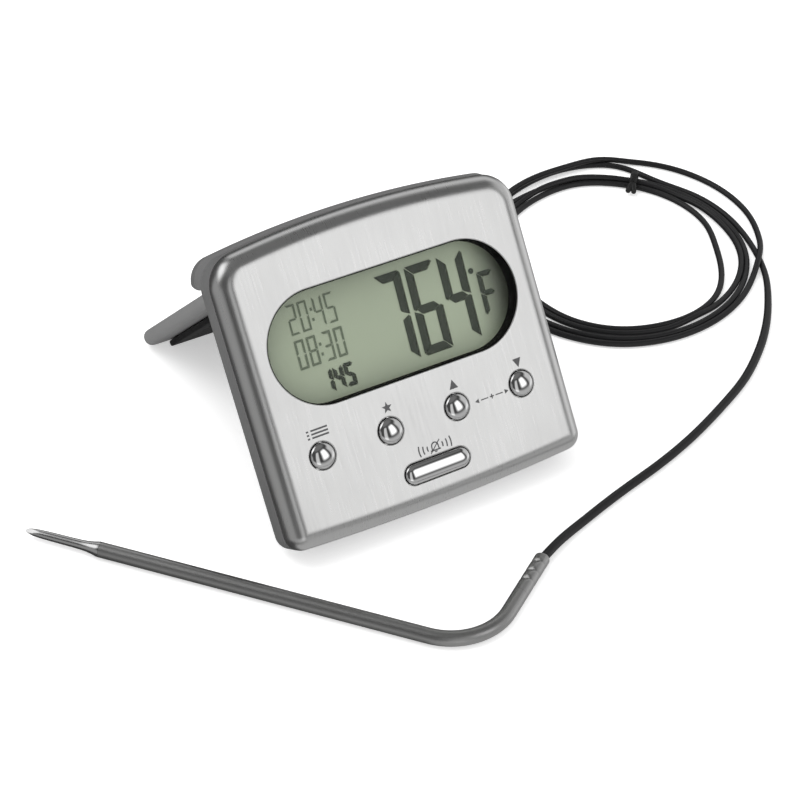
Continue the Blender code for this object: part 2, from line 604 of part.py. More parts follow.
def make_stand():
    hinge = make_empty("stand_hinge", (0, HINGE_Y, HINGE_Z), (stand_open_angle(), 0, 0), CASE_FRAME)
    half, foot_half = STAND_HALF_WIDTHS
    thick = STAND_THICKNESS / 2
    corner_y = -STAND_LENGTH + STAND_CORNER
    outline = arc((-foot_half + STAND_CORNER, corner_y), STAND_CORNER, math.pi, 1.5 * math.pi, 5)
    outline += arc((foot_half - STAND_CORNER, corner_y), STAND_CORNER, -math.pi / 2, 0, 5)
    outline += [(half, thick), (-half, thick)]
    flap = place(plate("stand_flap", outline, -thick, thick), GREY_PLASTIC, hinge)
    edge = flap.modifiers.new("round_edges", "BEVEL")
    edge.width = thick * 0.94
    edge.segments = 4
    edge.limit_method = "ANGLE"
    edge.angle_limit = math.radians(60)
    edge.use_clamp_overlap = False
    for side, sign in (("left", -1), ("right", 1)):
        low, high = sorted((sign * (PIN_X[0] - TOUCH_GAP), sign * (half + 0.001)))
        bore = cylinder(f"flap_bore_{side}", PIN_BORE, low, high, SMALL_STEPS)
        place(bore, None, hinge, (0, 0, 0), (0, math.pi / 2, 0))
        combine(flap, bore)
        low, high = sorted((sign * PIN_X[0], sign * PIN_X[1]))
        pin = cylinder(f"hinge_pin_{side}", PIN_RADIUS, low, high, SMALL_STEPS)
        place(pin, SPRING_STEEL, hinge, (0, 0, 0), (0, math.pi / 2, 0))
    pad_z = thick + TOUCH_GAP
    pad_outline = rounded_rectangle(-PAD_WIDTH / 2, PAD_SPAN[0], PAD_WIDTH / 2, PAD_SPAN[1], 0.001, 2)
    place(plate("stand_pad", pad_outline, pad_z, pad_z + PAD_THICKNESS), BLACK_RUBBER, hinge)


# ---------------------------------------------------------------- jack, plug and cable

def make_jack_and_plug():
    x, y = JACK_PLACE
    jack = box("probe_jack", (-JACK_BOX[0] / 2, -JACK_BOX[1] / 2, JACK_Z[0]),
               (JACK_BOX[0] / 2, JACK_BOX[1] / 2, JACK_Z[1]))
    place(jack, BLACK_PLASTIC, CASE_FRAME, (x, y, 0))
    nose = cylinder("jack_nose", JACK_NOSE, -0.0005, JACK_Z[0] + 0.001, SMALL_STEPS)
    cut_with(jack, nose, location=(x, y, 0), operation="UNION")
    cut_with(jack, cylinder("jack_bore", JACK_BORE, -0.002, 0.0082, SMALL_STEPS), location=(x, y, 0))
    pin_profile = [(0, 0.0076), (0.0006, 0.0076), (PLUG_PIN, 0.0066), (PLUG_PIN, -0.0006), (0, -0.0006)]
    place(turned("plug_pin", pin_profile, SMALL_STEPS), BRASS, CASE_FRAME, (x, y, 0))
    low, high = PLUG_Z
    body_profile = [(0, high), (PLUG_RADIUS - 0.0005, high), (PLUG_RADIUS, high - 0.0005),
                    (PLUG_RADIUS, low + 0.0030), (PLUG_RADIUS - 0.0008, low), (0, low)]
    place(turned("plug_body", body_profile), BLACK_PLASTIC, CASE_FRAME, (x, y, 0))
    low, high = RELIEF_Z
    relief_profile = [(0, high), (0.0024, high), (0.0020, (low + high) / 2), (0.0017, low), (0, low)]
    place(turned("plug_strain_relief", relief_profile, SMALL_STEPS), BLACK_RUBBER, CASE_FRAME, (x, y, 0))


def smooth_path(points, spacing):
    """Points at about equal spacing along a Catmull-Rom curve through the given ones."""
    knots = [Vector(p) for p in points]
    ends = [2 * knots[0] - knots[1]] + knots + [2 * knots[-1] - knots[-2]]
    path = []
    for a, b, c, d in zip(ends, ends[1:], ends[2:], ends[3:]):
        steps = max(1, round((c - b).length / spacing))
        for i in range(steps):
            t = i / steps
            path.append(0.5 * (2 * b + (c - a) * t + (2 * a - 5 * b + 4 * c - d) * t ** 2
                               + (3 * b - a - 3 * c + d) * t ** 3))
    return path + [knots[-1]]


def make_cable():
    relief_end = CASE_TO_TABLE @ Vector((*JACK_PLACE, RELIEF_Z[0] - TOUCH_GAP))
    lead = [relief_end] + [Vector(p) for p in LEAD_POINTS] + [coil_side(math.radians(170))]
    tube("cable_lead", smooth_path(lead, 0.0060), CABLE_RADIUS, CABLE)
    end = probe_layout()["end"]
    outward = probe_layout()["out_direction"]
    tail = [Vector((x, y, CABLE_RADIUS + 0.0001)) for x, y in TAIL_POINTS]
    tail.append(end + outward * TOUCH_GAP)
    tube("cable_tail", smooth_path(tail, 0.0060), CABLE_RADIUS, CABLE)

    inner, outer = COIL_RADII
    soft = 0.0020
    profile = [(inner + soft, COIL_HEIGHT), (outer - soft, COIL_HEIGHT), (outer, COIL_HEIGHT - soft),
               (outer, soft * 0.5), (outer - soft * 0.5, 0.0001), (inner + soft * 0.5, 0.0001),
               (inner, soft * 0.5), (inner, COIL_HEIGHT - soft), (inner + soft, COIL_HEIGHT)]
    place(turned("cable_coil", profile, 48), CABLE, OBJECT_FRAME, (*COIL_CENTRE, 0))
    knob_x = inner - TOUCH_GAP - 0.0005
    knob = box("cable_tie", (knob_x - 0.0040, -0.0015, 0.0012), (knob_x, 0.0015, 0.0052))
    place(knob, BLACK_PLASTIC, OBJECT_FRAME, (*COIL_CENTRE, 0), (0, 0, TIE_ANGLE))


def coil_side(angle):
    """A point on the table just outside the coil, at an angle about its centre."""
    reach = COIL_RADII[1] + 2 * TOUCH_GAP
    return Vector((COIL_CENTRE[0] + reach * math.cos(angle), COIL_CENTRE[1] + reach * math.sin(angle),
                   CABLE_RADIUS + 0.0001))


# ---------------------------------------------------------------- probe

def probe_layout():
    """Ends, directions and bend of the probe's centre line, in the table's frame."""
    height = PROBE_RADIUS + 0.0001
    point = Vector((*PROBE_POINT, height))
    corner = Vector((*PROBE_CORNER, height))
    end = Vector((*PROBE_END, height))
    in_direction = (corner - point).normalized()
    out_direction = (end - corner).normalized()
    turn = in_direction.angle(out_direction)
    tangent = PROBE_BEND * math.tan(turn / 2)
    return {"point": point, "end": end, "in_direction": in_direction, "out_direction": out_direction,
            "turn": turn, "bend_start": corner - in_direction * tangent}


def along(direction):
    """Rotation that turns an object's Z axis into a direction."""
    return Vector(direction).to_track_quat("Z", "Y").to_euler()


def make_probe():
    layout = probe_layout()
    forward = layout["in_direction"]
    outward = layout["out_direction"]
    left = Vector((-forward.y, forward.x, 0))
    steps = 10
    path = [layout["point"] + forward * (TIP_LENGTH + TOUCH_GAP)]
    for i in range(steps + 1):
        angle = layout["turn"] * i / steps
        path.append(layout["bend_start"] + PROBE_BEND * (forward * math.sin(angle) + left * (1 - math.cos(angle))))
    path.append(layout["end"] - outward * (CRIMP_LENGTH + TOUCH_GAP))
    tube("probe_shaft", path, PROBE_RADIUS, STEEL, 4)

    slim = PROBE_TIP_RADIUS
    wall = 0.0004
    tip_profile = [(0, 0), (0.0004, 0.0003), (slim, 0.0042), (slim, 0.0165), (PROBE_RADIUS, TIP_LENGTH),
                   (slim - wall, TIP_LENGTH), (slim - wall, 0.0052), (0, 0.0046)]
    tip_profile = [(radius, -distance) for radius, distance in tip_profile]
    place(turned("probe_tip", tip_profile), STEEL, OBJECT_FRAME, layout["point"], along(-forward))
    bead_profile = [(0, -0.0054), (0.0006, -0.0056), (0.0008, -0.0062), (0.0008, -0.0092), (0, -0.0096)]
    bead = turned("thermistor_bead", bead_profile, 12)
    place(bead, CERAMIC, OBJECT_FRAME, layout["point"], along(-forward))

    crimp = PROBE_RADIUS
    grip = PROBE_RADIUS * 0.80
    crimp_profile = [(0, 0), (grip * 0.8, 0), (grip, -0.0006), (grip, -0.0030), (crimp, -0.0042),
                     (crimp, -0.0060), (grip, -0.0070), (grip, -0.0088), (crimp, -0.0098),
                     (crimp, -CRIMP_LENGTH), (0, -CRIMP_LENGTH)]
    place(turned("probe_crimp", crimp_profile), STEEL, OBJECT_FRAME, layout["end"], along(outward))


make_front_bezel()
make_inner_frame()
make_display()
make_board()
make_rear_housing()
make_case_screws()
make_battery()
for button_name, (button_x, button_y) in zip(BUTTON_NAMES, button_places()):
    make_round_button(button_name, button_x, button_y)
make_pill_button()
make_stand()
make_jack_and_plug()
make_cable()
make_probe()
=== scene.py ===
"""Looks for a digital oven-probe meat thermometer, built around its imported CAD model.

The display unit leans back on its open stand. Fine shells, lens, display, buttons, stand,
probe and cord stand for the plain CAD ones. Sizes are in metres unless a name says MM. "Case"
coordinates have X to the right, Y up the face and Z out of the face, from the middle of the
case's lower edge. "Table" coordinates are X and Y on the table from the middle of the edge that
the case rests on.
"""
import json
import math

import bmesh
import bpy
import numpy as np
from mathutils import Matrix, Vector


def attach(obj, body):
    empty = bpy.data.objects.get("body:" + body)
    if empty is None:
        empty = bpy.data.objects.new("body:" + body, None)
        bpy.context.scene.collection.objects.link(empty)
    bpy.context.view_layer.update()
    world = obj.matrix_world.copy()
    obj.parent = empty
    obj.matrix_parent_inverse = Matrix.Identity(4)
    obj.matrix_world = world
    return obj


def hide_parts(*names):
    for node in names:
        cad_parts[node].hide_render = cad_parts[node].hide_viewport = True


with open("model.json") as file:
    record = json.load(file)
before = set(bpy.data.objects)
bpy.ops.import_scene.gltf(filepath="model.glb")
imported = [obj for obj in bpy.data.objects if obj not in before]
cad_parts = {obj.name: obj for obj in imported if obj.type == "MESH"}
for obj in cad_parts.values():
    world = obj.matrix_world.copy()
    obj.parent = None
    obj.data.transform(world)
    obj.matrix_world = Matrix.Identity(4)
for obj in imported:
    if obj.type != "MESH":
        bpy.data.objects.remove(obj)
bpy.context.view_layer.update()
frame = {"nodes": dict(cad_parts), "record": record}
MM = 0.001
STILL = Matrix.Identity(4)
UP = Vector((0, 0, 1))

RECORD = frame["record"]
JOINTS = {joint["name"]: joint for joint in RECORD["behaviour"]["joints"]}
STAND_FOLD = math.radians(JOINTS["stand_fold"]["range_deg"][1])
LEAN = math.asin(JOINTS["battery_cover_turn"]["axis"][2])        # of the face, back from the vertical
REST_EDGE = Vector((JOINTS["stand_fold"]["pos_m"][0], RECORD["mounts"][0]["pos_m"][1], 0))
TABLE = Matrix.Translation(REST_EDGE)
CASE = TABLE @ Matrix.Rotation(math.pi / 2 - LEAN, 4, "X")

# Case, the same driving sizes as the CAD model's
CASE_WIDTH = 0.100
CASE_HEIGHT = 0.0915
TOP_BOW = 0.0040
BOTTOM_BOW = 0.0016
TOP_CORNER = 0.0100
BOTTOM_CORNER = 0.0050
FACE_Z = 0.0138
SEAM_Z = 0.0077
SEAM_GAP = 0.0003
BEZEL_ROUND = 0.0055
SHEET = 0.0009
SHEET_EDGE = 0.00018
HOUSING_WALL = 0.0016
HOUSING_ROUND = 0.0012
LIP = (0.0013, 0.0020)
LIP_Z = (0.0066, 0.0093)
HUMP_DEPTH = 0.0134
HUMP_START_Z = -0.0004
HUMP_PROUD = (0.0005, 0.0009)           # past the case's outline, at the sides and on top
HUMP_CORNER = 0.0072
HUMP_ROUND = (0.0080, 0.0036)           # how far the sides and the top close in towards the back
HUMP_UNDERSIDE_Y = 0.0809
HUMP_UNDERSIDE_TILT = math.radians(14)
LUG_X = (0.0424, 0.0462)
LUG_BOTTOM_Y = 0.0754
FOOT_SIZE = (0.012, 0.0020, 0.0024)
FOOT_X = 0.034
WINDOW_Y = 0.0560
WINDOW_SIZE = (0.0822, 0.0337)
COLLAR_WALL = 0.0003
BUTTON_Y = 0.0261
BUTTON_PITCH = 0.0225
BUTTON_RADIUS = 0.0038
BUTTON_HOLE = 0.0041
BUTTON_DOME = 0.0016
BUTTON_NAMES = ["menu_button", "preset_button", "up_button", "down_button"]
PILL_Y = 0.0116
PILL_SIZE = (0.0215, 0.0059)
PILL_HOLE = (0.0221, 0.0065)
PILL_DOME = 0.0013
FLANGE_Z = (0.0102, 0.0111)
STEM_Z = 0.0094
CELL_Y = 0.0200
COVER_RADIUS = 0.0120
COVER_TURN = math.radians(60)
CASE_SCREWS = [(-0.0445, 0.0070), (0.0445, 0.0070), (-0.0445, 0.0775), (0.0445, 0.0775)]
JACK_PLACE = (0.0455, 0.0580)
HINGE = (0.0783, -0.0054)               # of the stand, in case Y and Z
STAND_HALF_WIDTHS = (0.0418, 0.0435)
STAND_LENGTH = 0.0810
STAND_THICKNESS = 0.0052
STAND_CORNER = 0.0050
PAD_WIDTH = 0.0720
PAD_SPAN = (-0.0768, -0.0200)
PAD_THICKNESS = 0.0020

# Rear housing's openings
CUT_Z = (-0.001, 0.003)                 # through the back wall
TROUGH_RADIUS = 0.0032                  # room for the stand's hinged edge
TROUGH_HALF = 0.0421
PIN_BORE = 0.0014
PIN_SPAN = (0.0412, 0.0455)             # of a hinge pin's bore in the housing, in X
STAND_PIN_X = 0.0373                    # where the pin's bore in the stand starts
JACK_HOLE = 0.0025
SCREW_HOLE = 0.0012
CELL_BAY = 0.0123
NOTCH_SIZE = (0.0268, 0.0048)           # room for the cell cover's two tabs
PLAQUE_SIZE = (0.056, 0.014)
PLAQUE_Y = 0.052
PLAQUE_DEPTH = 0.0003

# Probe, on the table
PROBE_RADIUS = 0.0023
PROBE_POINT = (-0.1105, 0.0431)
PROBE_CORNER = (-0.0185, -0.0609)
PROBE_END = (0.0157, -0.0383)
PROBE_BEND = 0.0190
TIP_LENGTH = 0.0235
CRIMP_LENGTH = 0.0165
TOUCH_GAP = 0.0003
TABLE_GAP = 0.0001

# Cord: its route's points, in table coordinates, and the coil's turns between them
CORD_RADIUS = 0.0014                    # at both ends
COIL_CORD_RADIUS = 0.00103
CORD_STEP = 0.0022                      # between the points of its centre line
CORD_SLOPE = 0.16                       # where one strand climbs over another
STRAND_PRESS = 0.97                     # how close crossing strands lie, of their radii together
SAME_STRAND = 0.012                     # nearer along the cord than this isn't a crossing
COIL_REACH = 0.0505                     # from the coil's centre to where the tail has left it
THINNING = ((0.02, 0.03), (0.045, 0.05))        # before and after the coil: its start and its length
PROBE_RISE = (0.022, 0.018)             # how far before its end the cord starts to rise, and for how long
KEPT_ENDS = (24, 10)                    # points at the plug and at the probe that aren't evened out
CORD_PUSHED_IN = 0.0008                 # into the probe's crimped end
RELIEF_END_Z = -0.0240
LEAD_POINTS = [(0.0456, 0.0626, 0.0246), (0.0462, 0.0692, 0.0178), (0.0472, 0.0752, 0.0104),
               (0.0496, 0.0806, 0.0044), (0.0538, 0.0846, 0.0017), (0.0592, 0.0862, 0.0015)]
LEAD_TURN = [(0.0648, 0.0876), (0.0698, 0.0922)]
COIL_CENTRE = (0.121, 0.076)
TURN_STEP = 20                          # degrees between a turn's radii, clockwise from above
TURN_START = 135
TURN_RADII_MM = [                       # the outer loop first, then the bundled turns
    [45.0, 46.0, 46.8, 48.7, 53.2, 55.2, 55.3, 53.9, 50.9,
     48.0, 48.0, 48.9, 50.5, 52.1, 52.1, 51.3, 50.2, 48.0],
    [45.5, 43.0, 41.8, 42.3, 42.3, 42.5, 42.9, 43.8, 44.9,
     45.4, 45.9, 46.8, 48.2, 49.5, 49.3, 48.4, 47.3, 46.0],
    [42.5, 41.0, 40.6, 41.4, 40.8, 40.7, 41.0, 41.8, 42.9,
     43.5, 43.4, 43.9, 45.5, 46.5, 46.0, 43.8, 42.6, 42.6],
    [39.8, 38.6, 38.8, 40.0, 39.2, 38.7, 38.0, 36.9, 35.1,
     36.8, 40.3, 42.2, 43.2, 44.3, 43.7, 41.3, 40.3, 42.0],
    [45.5, 46.2, 47.5, 49.8, 50.7, 44.6, 45.5, 46.3, 47.8]]
TURN_LAYERS = [4, 1, 3, 2, 0]           # which turn lies on which, lowest first
COIL_LEAVES = [(-42, 51.3), (-51.4, 53.6)]     # degrees and millimetres, under the outer loop
TAIL_POINTS = [(0.1499, 0.0280), (0.1451, 0.0220), (0.1391, 0.0157), (0.1334, 0.0104), (0.1274, 0.0056),
               (0.1210, 0.0010), (0.1148, -0.0028), (0.0987, -0.0104), (0.0847, -0.0162),
               (0.0697, -0.0211), (0.0524, -0.0255), (0.0362, -0.0303), (0.0256, -0.0340)]
TIE_PLACE = (46, 40.6)                  # degrees and millimetres about the coil's centre

# Camera
CAMERA_AZIMUTH = math.radians(-32.22)
CAMERA_ELEVATION = math.radians(40.8)
CAMERA_ROLL = math.radians(2.6)
CAMERA_DISTANCE = 0.6194
CAMERA_TARGET = REST_EDGE + Vector((-0.0071, 0.0070, 0.0375))
CAMERA_LENS = 96.75

# Sky: azimuth from the front and to the right, height, softness in degrees, brightness
SKY_BOXES = [
    ((14, 41), (14, 50), 7, 1.30),
    ((-26, -4), (-8, 52), 4, 0.56),
    ((56, 118), (-10, 42), 8, 0.52),
    ((116, 181), (16, 46), 7, 0.62),
    ((-160, -96), (30, 62), 8, 1.30),
    ((-130, -60), (-25, 24), 9, 0.28),
    ((-200, 200), (60, 100), 8, 0.10),
    ((-60, 130), (-95, 3), 9, 0.39),
]
SKY_BASE = 0.06
SKY_FOR_DIFFUSE = 0.88
LAMPS = [                               # name, place, aim, size, power
    ("overhead", (-0.22, 0.20, 0.80), (0.03, 0.0, 0.0), 0.60, 3.1),
    ("front_fill", (-0.35, -0.75, 0.70), (0.0, 0.0, 0.02), 0.7, 0.7)]


# ---------------------------------------------------------------- camera, light and table

def linked(name, data):
    """A new object in the scene that holds the given data."""
    obj = bpy.data.objects.new(name, data)
    bpy.context.scene.collection.objects.link(obj)
    return obj


def view_axes(azimuth, elevation, roll):
    """Right, up and towards-the-camera directions."""
    back = Vector((math.sin(azimuth) * math.cos(elevation), -math.cos(azimuth) * math.cos(elevation),
                   math.sin(elevation)))
    across = Vector((math.cos(azimuth), math.sin(azimuth), 0))
    upright = back.cross(across)
    right = across * math.cos(roll) + upright * math.sin(roll)
    return right, back.cross(right), back


def make_camera():
    data = bpy.data.cameras.new("camera")
    data.lens = CAMERA_LENS
    data.clip_start = 0.01
    right, up, back = view_axes(CAMERA_AZIMUTH, CAMERA_ELEVATION, CAMERA_ROLL)
    turn = Matrix((right, up, back)).transposed().to_4x4()
    camera = linked("camera", data)
    camera.matrix_world = Matrix.Translation(CAMERA_TARGET + back * CAMERA_DISTANCE) @ turn
    bpy.context.scene.camera = camera


class Nodes:
    """Short calls for adding a tree's nodes, whose inputs take values or other nodes' outputs."""

    def __init__(self, tree):
        self.tree = tree

    def fill(self, node, inputs):
        for name, value in inputs.items():
            if isinstance(value, bpy.types.NodeSocket):
                self.tree.links.new(value, node.inputs[name])
            else:
                node.inputs[name].default_value = value

    def add(self, kind, inputs=None, **values):
        node = self.tree.nodes.new(kind)
        for name, value in values.items():
            setattr(node, name, value)
        self.fill(node, inputs or {})
        return node

    def math(self, operation, *values):
        return self.add("ShaderNodeMath", dict(enumerate(values)), operation=operation).outputs[0]

    def ramp(self, value, low, high):
        """0 below low, 1 above high, smooth between."""
        return self.add("ShaderNodeMapRange", {"Value": value, "From Min": low, "From Max": high},
                        interpolation_type="SMOOTHSTEP").outputs[0]

    def between(self, value, low, high, soft):
        rising = self.ramp(value, low - soft, low + soft)
        falling = self.ramp(value, high - soft, high + soft)
        return self.math("SUBTRACT", rising, falling)


def make_studio():
    """Soft boxes as a surrounding sky, and two lamps that no reflection shows."""
    world = bpy.data.worlds.new("studio")
    world.use_nodes = True
    bpy.context.scene.world = world
    nodes = Nodes(world.node_tree)
    place = nodes.add("ShaderNodeTexCoord").outputs["Generated"]
    x, y, z = nodes.add("ShaderNodeSeparateXYZ", {0: place}).outputs
    turn = nodes.math("ARCTAN2", x, nodes.math("MULTIPLY", y, -1.0))
    azimuth = nodes.math("MULTIPLY", turn, 180 / math.pi)
    height = nodes.math("MULTIPLY", nodes.math("ARCSINE", z), 180 / math.pi)
    light = SKY_BASE
    for around, upwards, soft, brightness in SKY_BOXES:
        across = nodes.between(azimuth, *around, soft)
        box = nodes.math("MULTIPLY", across, nodes.between(height, *upwards, soft))
        light = nodes.math("ADD", light, nodes.math("MULTIPLY", box, brightness))
    rays = nodes.add("ShaderNodeLightPath").outputs
    for kind, strength in (("Is Diffuse Ray", SKY_FOR_DIFFUSE), ("Is Camera Ray", 1.0)):
        light = nodes.add("ShaderNodeMix", {0: rays[kind], 2: light, 3: strength}).outputs[0]
    nodes.fill(world.node_tree.nodes["Background"], {"Color": (1, 1, 1, 1), "Strength": light})

    for name, place, aim, size, power in LAMPS:
        data = bpy.data.lights.new(name, "AREA")
        data.size = size
        data.energy = power
        lamp = linked(name, data)
        lamp.location = place
        lamp.rotation_euler = (Vector(aim) - Vector(place)).to_track_quat("-Z", "Y").to_euler()
        lamp.visible_glossy = False
        lamp.visible_camera = False
    bpy.context.scene.view_settings.view_transform = "Standard"


def make_table():
    mesh = bpy.data.meshes.new("table")
    bm = bmesh.new()
    bmesh.ops.create_grid(bm, x_segments=1, y_segments=1, size=4.0)
    bm.to_mesh(mesh)
    bm.free()
    table = linked("table", mesh)
    table.location = (0, 0, -TABLE_GAP)
    material = bpy.data.materials.new("white_table")
    material.use_nodes = True
    Nodes(material.node_tree).fill(material.node_tree.nodes["Principled BSDF"], {
        "Base Color": (0.85, 0.85, 0.85, 1), "Roughness": 0.9, "Specular IOR Level": 0.1,
        "Emission Color": (1, 1, 1, 1), "Emission Strength": 0.42})
    mesh.materials.append(material)
    table.visible_glossy = False


# ---------------------------------------------------------------- materials


def triple(value):
    """One number three times; a triple stays as it is."""
    return value if isinstance(value, tuple) else (value,) * 3


def surface(name, color, roughness, grain, spread, rough_spread, bump=0.0, bump_depth=0.0002, metallic=0.0,
            **settings):
    """A Principled material whose colour, roughness and height vary with a stretched fine noise."""
    material = bpy.data.materials.new(name)
    material.use_nodes = True
    nodes = Nodes(material.node_tree)
    place = nodes.add("ShaderNodeTexCoord").outputs["Object"]
    stretch = nodes.add("ShaderNodeMapping", {"Vector": place, "Scale": triple(grain)})
    fine = nodes.add("ShaderNodeTexNoise", {"Vector": stretch.outputs["Vector"], "Scale": 1.0, "Detail": 6.0,
                                            "Roughness": 0.62}).outputs["Fac"]
    broad = nodes.add("ShaderNodeTexNoise", {"Vector": place, "Scale": 55.0, "Detail": 2.0}).outputs["Fac"]
    mixed = nodes.math("ADD", nodes.math("MULTIPLY", fine, 0.75), nodes.math("MULTIPLY", broad, 0.25))

    low, high = 0.30, 0.70              # where the mixed noise mostly lies
    colors = nodes.add("ShaderNodeValToRGB", {"Fac": mixed})
    for stop, position, change in zip(colors.color_ramp.elements, (low, high), (1 - spread, 1 + spread)):
        stop.position = position
        stop.color = (*[min(c * change, 1.0) for c in triple(color)], 1)
    rough = nodes.add("ShaderNodeMapRange", {
        "Value": mixed, "From Min": low, "From Max": high, "To Min": max(roughness - rough_spread, 0.02),
        "To Max": roughness + rough_spread})
    inputs = {"Metallic": metallic, "Base Color": colors.outputs["Color"],
              "Roughness": rough.outputs["Result"]}
    inputs.update((socket.replace("_", " "), value) for socket, value in settings.items())
    if bump > 0:
        relief = nodes.add("ShaderNodeBump", {"Height": fine, "Strength": bump, "Distance": bump_depth})
        inputs["Normal"] = relief.outputs["Normal"]
    nodes.fill(material.node_tree.nodes["Principled BSDF"], inputs)
    return material


# Colour, roughness, grain, spread of colour and of roughness, bump and its depth
BRUSHED = surface("brushed_steel", (0.74, 0.74, 0.735), 0.30, (3600, 60, 600), 0.05, 0.05, 0.03, 0.00002, 1.0)
CHROME = surface("chrome", 0.86, 0.05, 900, 0.02, 0.02, metallic=1.0)
TIP_STEEL = surface("tip_steel", 0.66, 0.22, 1200, 0.04, 0.04, metallic=1.0)
PROBE_STEEL = surface("probe_steel", (0.52, 0.52, 0.515), 0.40, 1500, 0.06, 0.05, 0.04, 0.00002, 1.0)
SCREW_STEEL = surface("screw_steel", (0.52, 0.52, 0.50), 0.34, 700, 0.10, 0.08, 0.05, metallic=1.0)
# Painted light: the stand is the housing's grey plastic made lighter, for the light on the flap's top; the
# housing keeps the darker grey
STAND_PLASTIC_PAINTED_LIGHT = surface("stand_plastic_painted_light", 0.205, 0.40, 2600, 0.10, 0.06, 0.25, 0.00004)
GREY_PLASTIC = surface("grey_plastic", 0.130, 0.46, 2600, 0.10, 0.06, 0.25, 0.00004)
BLACK_PLASTIC = surface("black_plastic", 0.012, 0.45, 1800, 0.2, 0.06, 0.2, 0.00004)
BLACK_RUBBER = surface("black_rubber", 0.010, 0.62, 2200, 0.25, 0.08, 0.35, 0.00005)
CORD_JACKET = surface("cord_jacket", (0.011, 0.011, 0.012), 0.44, 1400, 0.2, 0.08, 0.2, 0.00003)
SILICONE = surface("silicone", (0.28, 0.29, 0.30), 0.60, 900, 0.08, 0.06, 0.2)
BRASS = surface("contact_brass", (0.62, 0.46, 0.19), 0.30, 600, 0.10, 0.08, 0.1, metallic=1.0)
BATTERY_STEEL = surface("battery_steel", (0.62, 0.62, 0.60), 0.24, (90, 2400, 90), 0.06, 0.06, 0.1,
                        metallic=1.0)
CERAMIC = surface("ceramic", (0.74, 0.71, 0.64), 0.50, 1800, 0.06, 0.08, 0.2)
BOARD = surface("circuit_board", (0.02, 0.15, 0.06), 0.42, (260, 900, 300), 0.35, 0.10, 0.2)
LCD = surface("lcd_glass", (0.360, 0.415, 0.303), 0.34, 900, 0.025, 0.03)
# Partly painted shade: the collar is black plastic, made near-black and barely reflecting to carry the deep
# shade inside the window's rim
COLLAR_BLACK_AND_SHADE = surface("collar_black_and_shade", 0.004, 0.8, 1800, 0.2, 0.05, 0.2, 0.00004, Specular_IOR_Level=0.12)
INK = surface("label_ink", (0.085, 0.085, 0.088), 0.5, 2600, 0.15, 0.05, 0.1, 0.00002)
SEGMENT = surface("lcd_segment", (0.034, 0.045, 0.030), 0.4, 1600, 0.08, 0.04)
FAINT_SEGMENT = surface("lcd_faint_segment", (0.125, 0.155, 0.105), 0.4, 1600, 0.12, 0.04)
SEGMENT_SHADOW = surface("lcd_segment_shadow", (0.10, 0.12, 0.085), 0.5, 900, 0.05, 0.04, Alpha=0.36)
LENS = surface("clear_lens", (0.010, 0.012, 0.010), 0.06, 200, 0.01, 0.02, Alpha=0.04)


# ---------------------------------------------------------------- shapes

def shaded(mesh, sharp):
    mesh.shade_smooth()
    mesh.set_sharp_from_angle(angle=math.radians(sharp))
    return mesh


def finish_mesh(name, bm, sharp=35):
    bmesh.ops.recalc_face_normals(bm, faces=bm.faces)
    mesh = bpy.data.meshes.new(name)
    bm.to_mesh(mesh)
    bm.free()
    return shaded(mesh, sharp)


def piece(name, data, material, *replaced, body="case", matrix=CASE):
    """Show a mesh or curve as a piece that rides on a body, in place of the named CAD nodes."""
    obj = linked(name, data)
    obj.matrix_world = matrix
    data.materials.clear()
    data.materials.append(material)
    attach(obj, body)
    if replaced:
        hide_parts(*replaced)
    return obj


def at(x, y, z=0.0):
    return Matrix.Translation((x, y, z))


def about(axis, degrees):
    return Matrix.Rotation(math.radians(degrees), 4, axis)


def arc(centre, radius, start, end, steps):
    return [(centre[0] + radius * math.cos(start + (end - start) * i / steps),
             centre[1] + radius * math.sin(start + (end - start) * i / steps)) for i in range(steps + 1)]

def circle(centre, radius, steps):
    return arc(centre, radius, 0, 2 * math.pi, steps)[:-1]


def oval(centre, across, upwards, steps):
    """Points around an ellipse, from its half axes."""
    angles = [2 * math.pi * i / steps for i in range(steps)]
    return [centre + across * math.cos(angle) + upwards * math.sin(angle) for angle in angles]


def level(outline, z):
    return [(x, y, z) for x, y in outline]


def mirrored(span):
    """A span of X on the left, and the same on the right."""
    return (-span[1], -span[0]), span


def stadium(length, height, steps=32, centre=(0, 0)):
    radius = height / 2
    reach = length / 2 - radius
    right = arc((centre[0] + reach, centre[1]), radius, -math.pi / 2, math.pi / 2, steps)
    left = arc((centre[0] - reach, centre[1]), radius, math.pi / 2, 3 * math.pi / 2, steps)
    return right + left


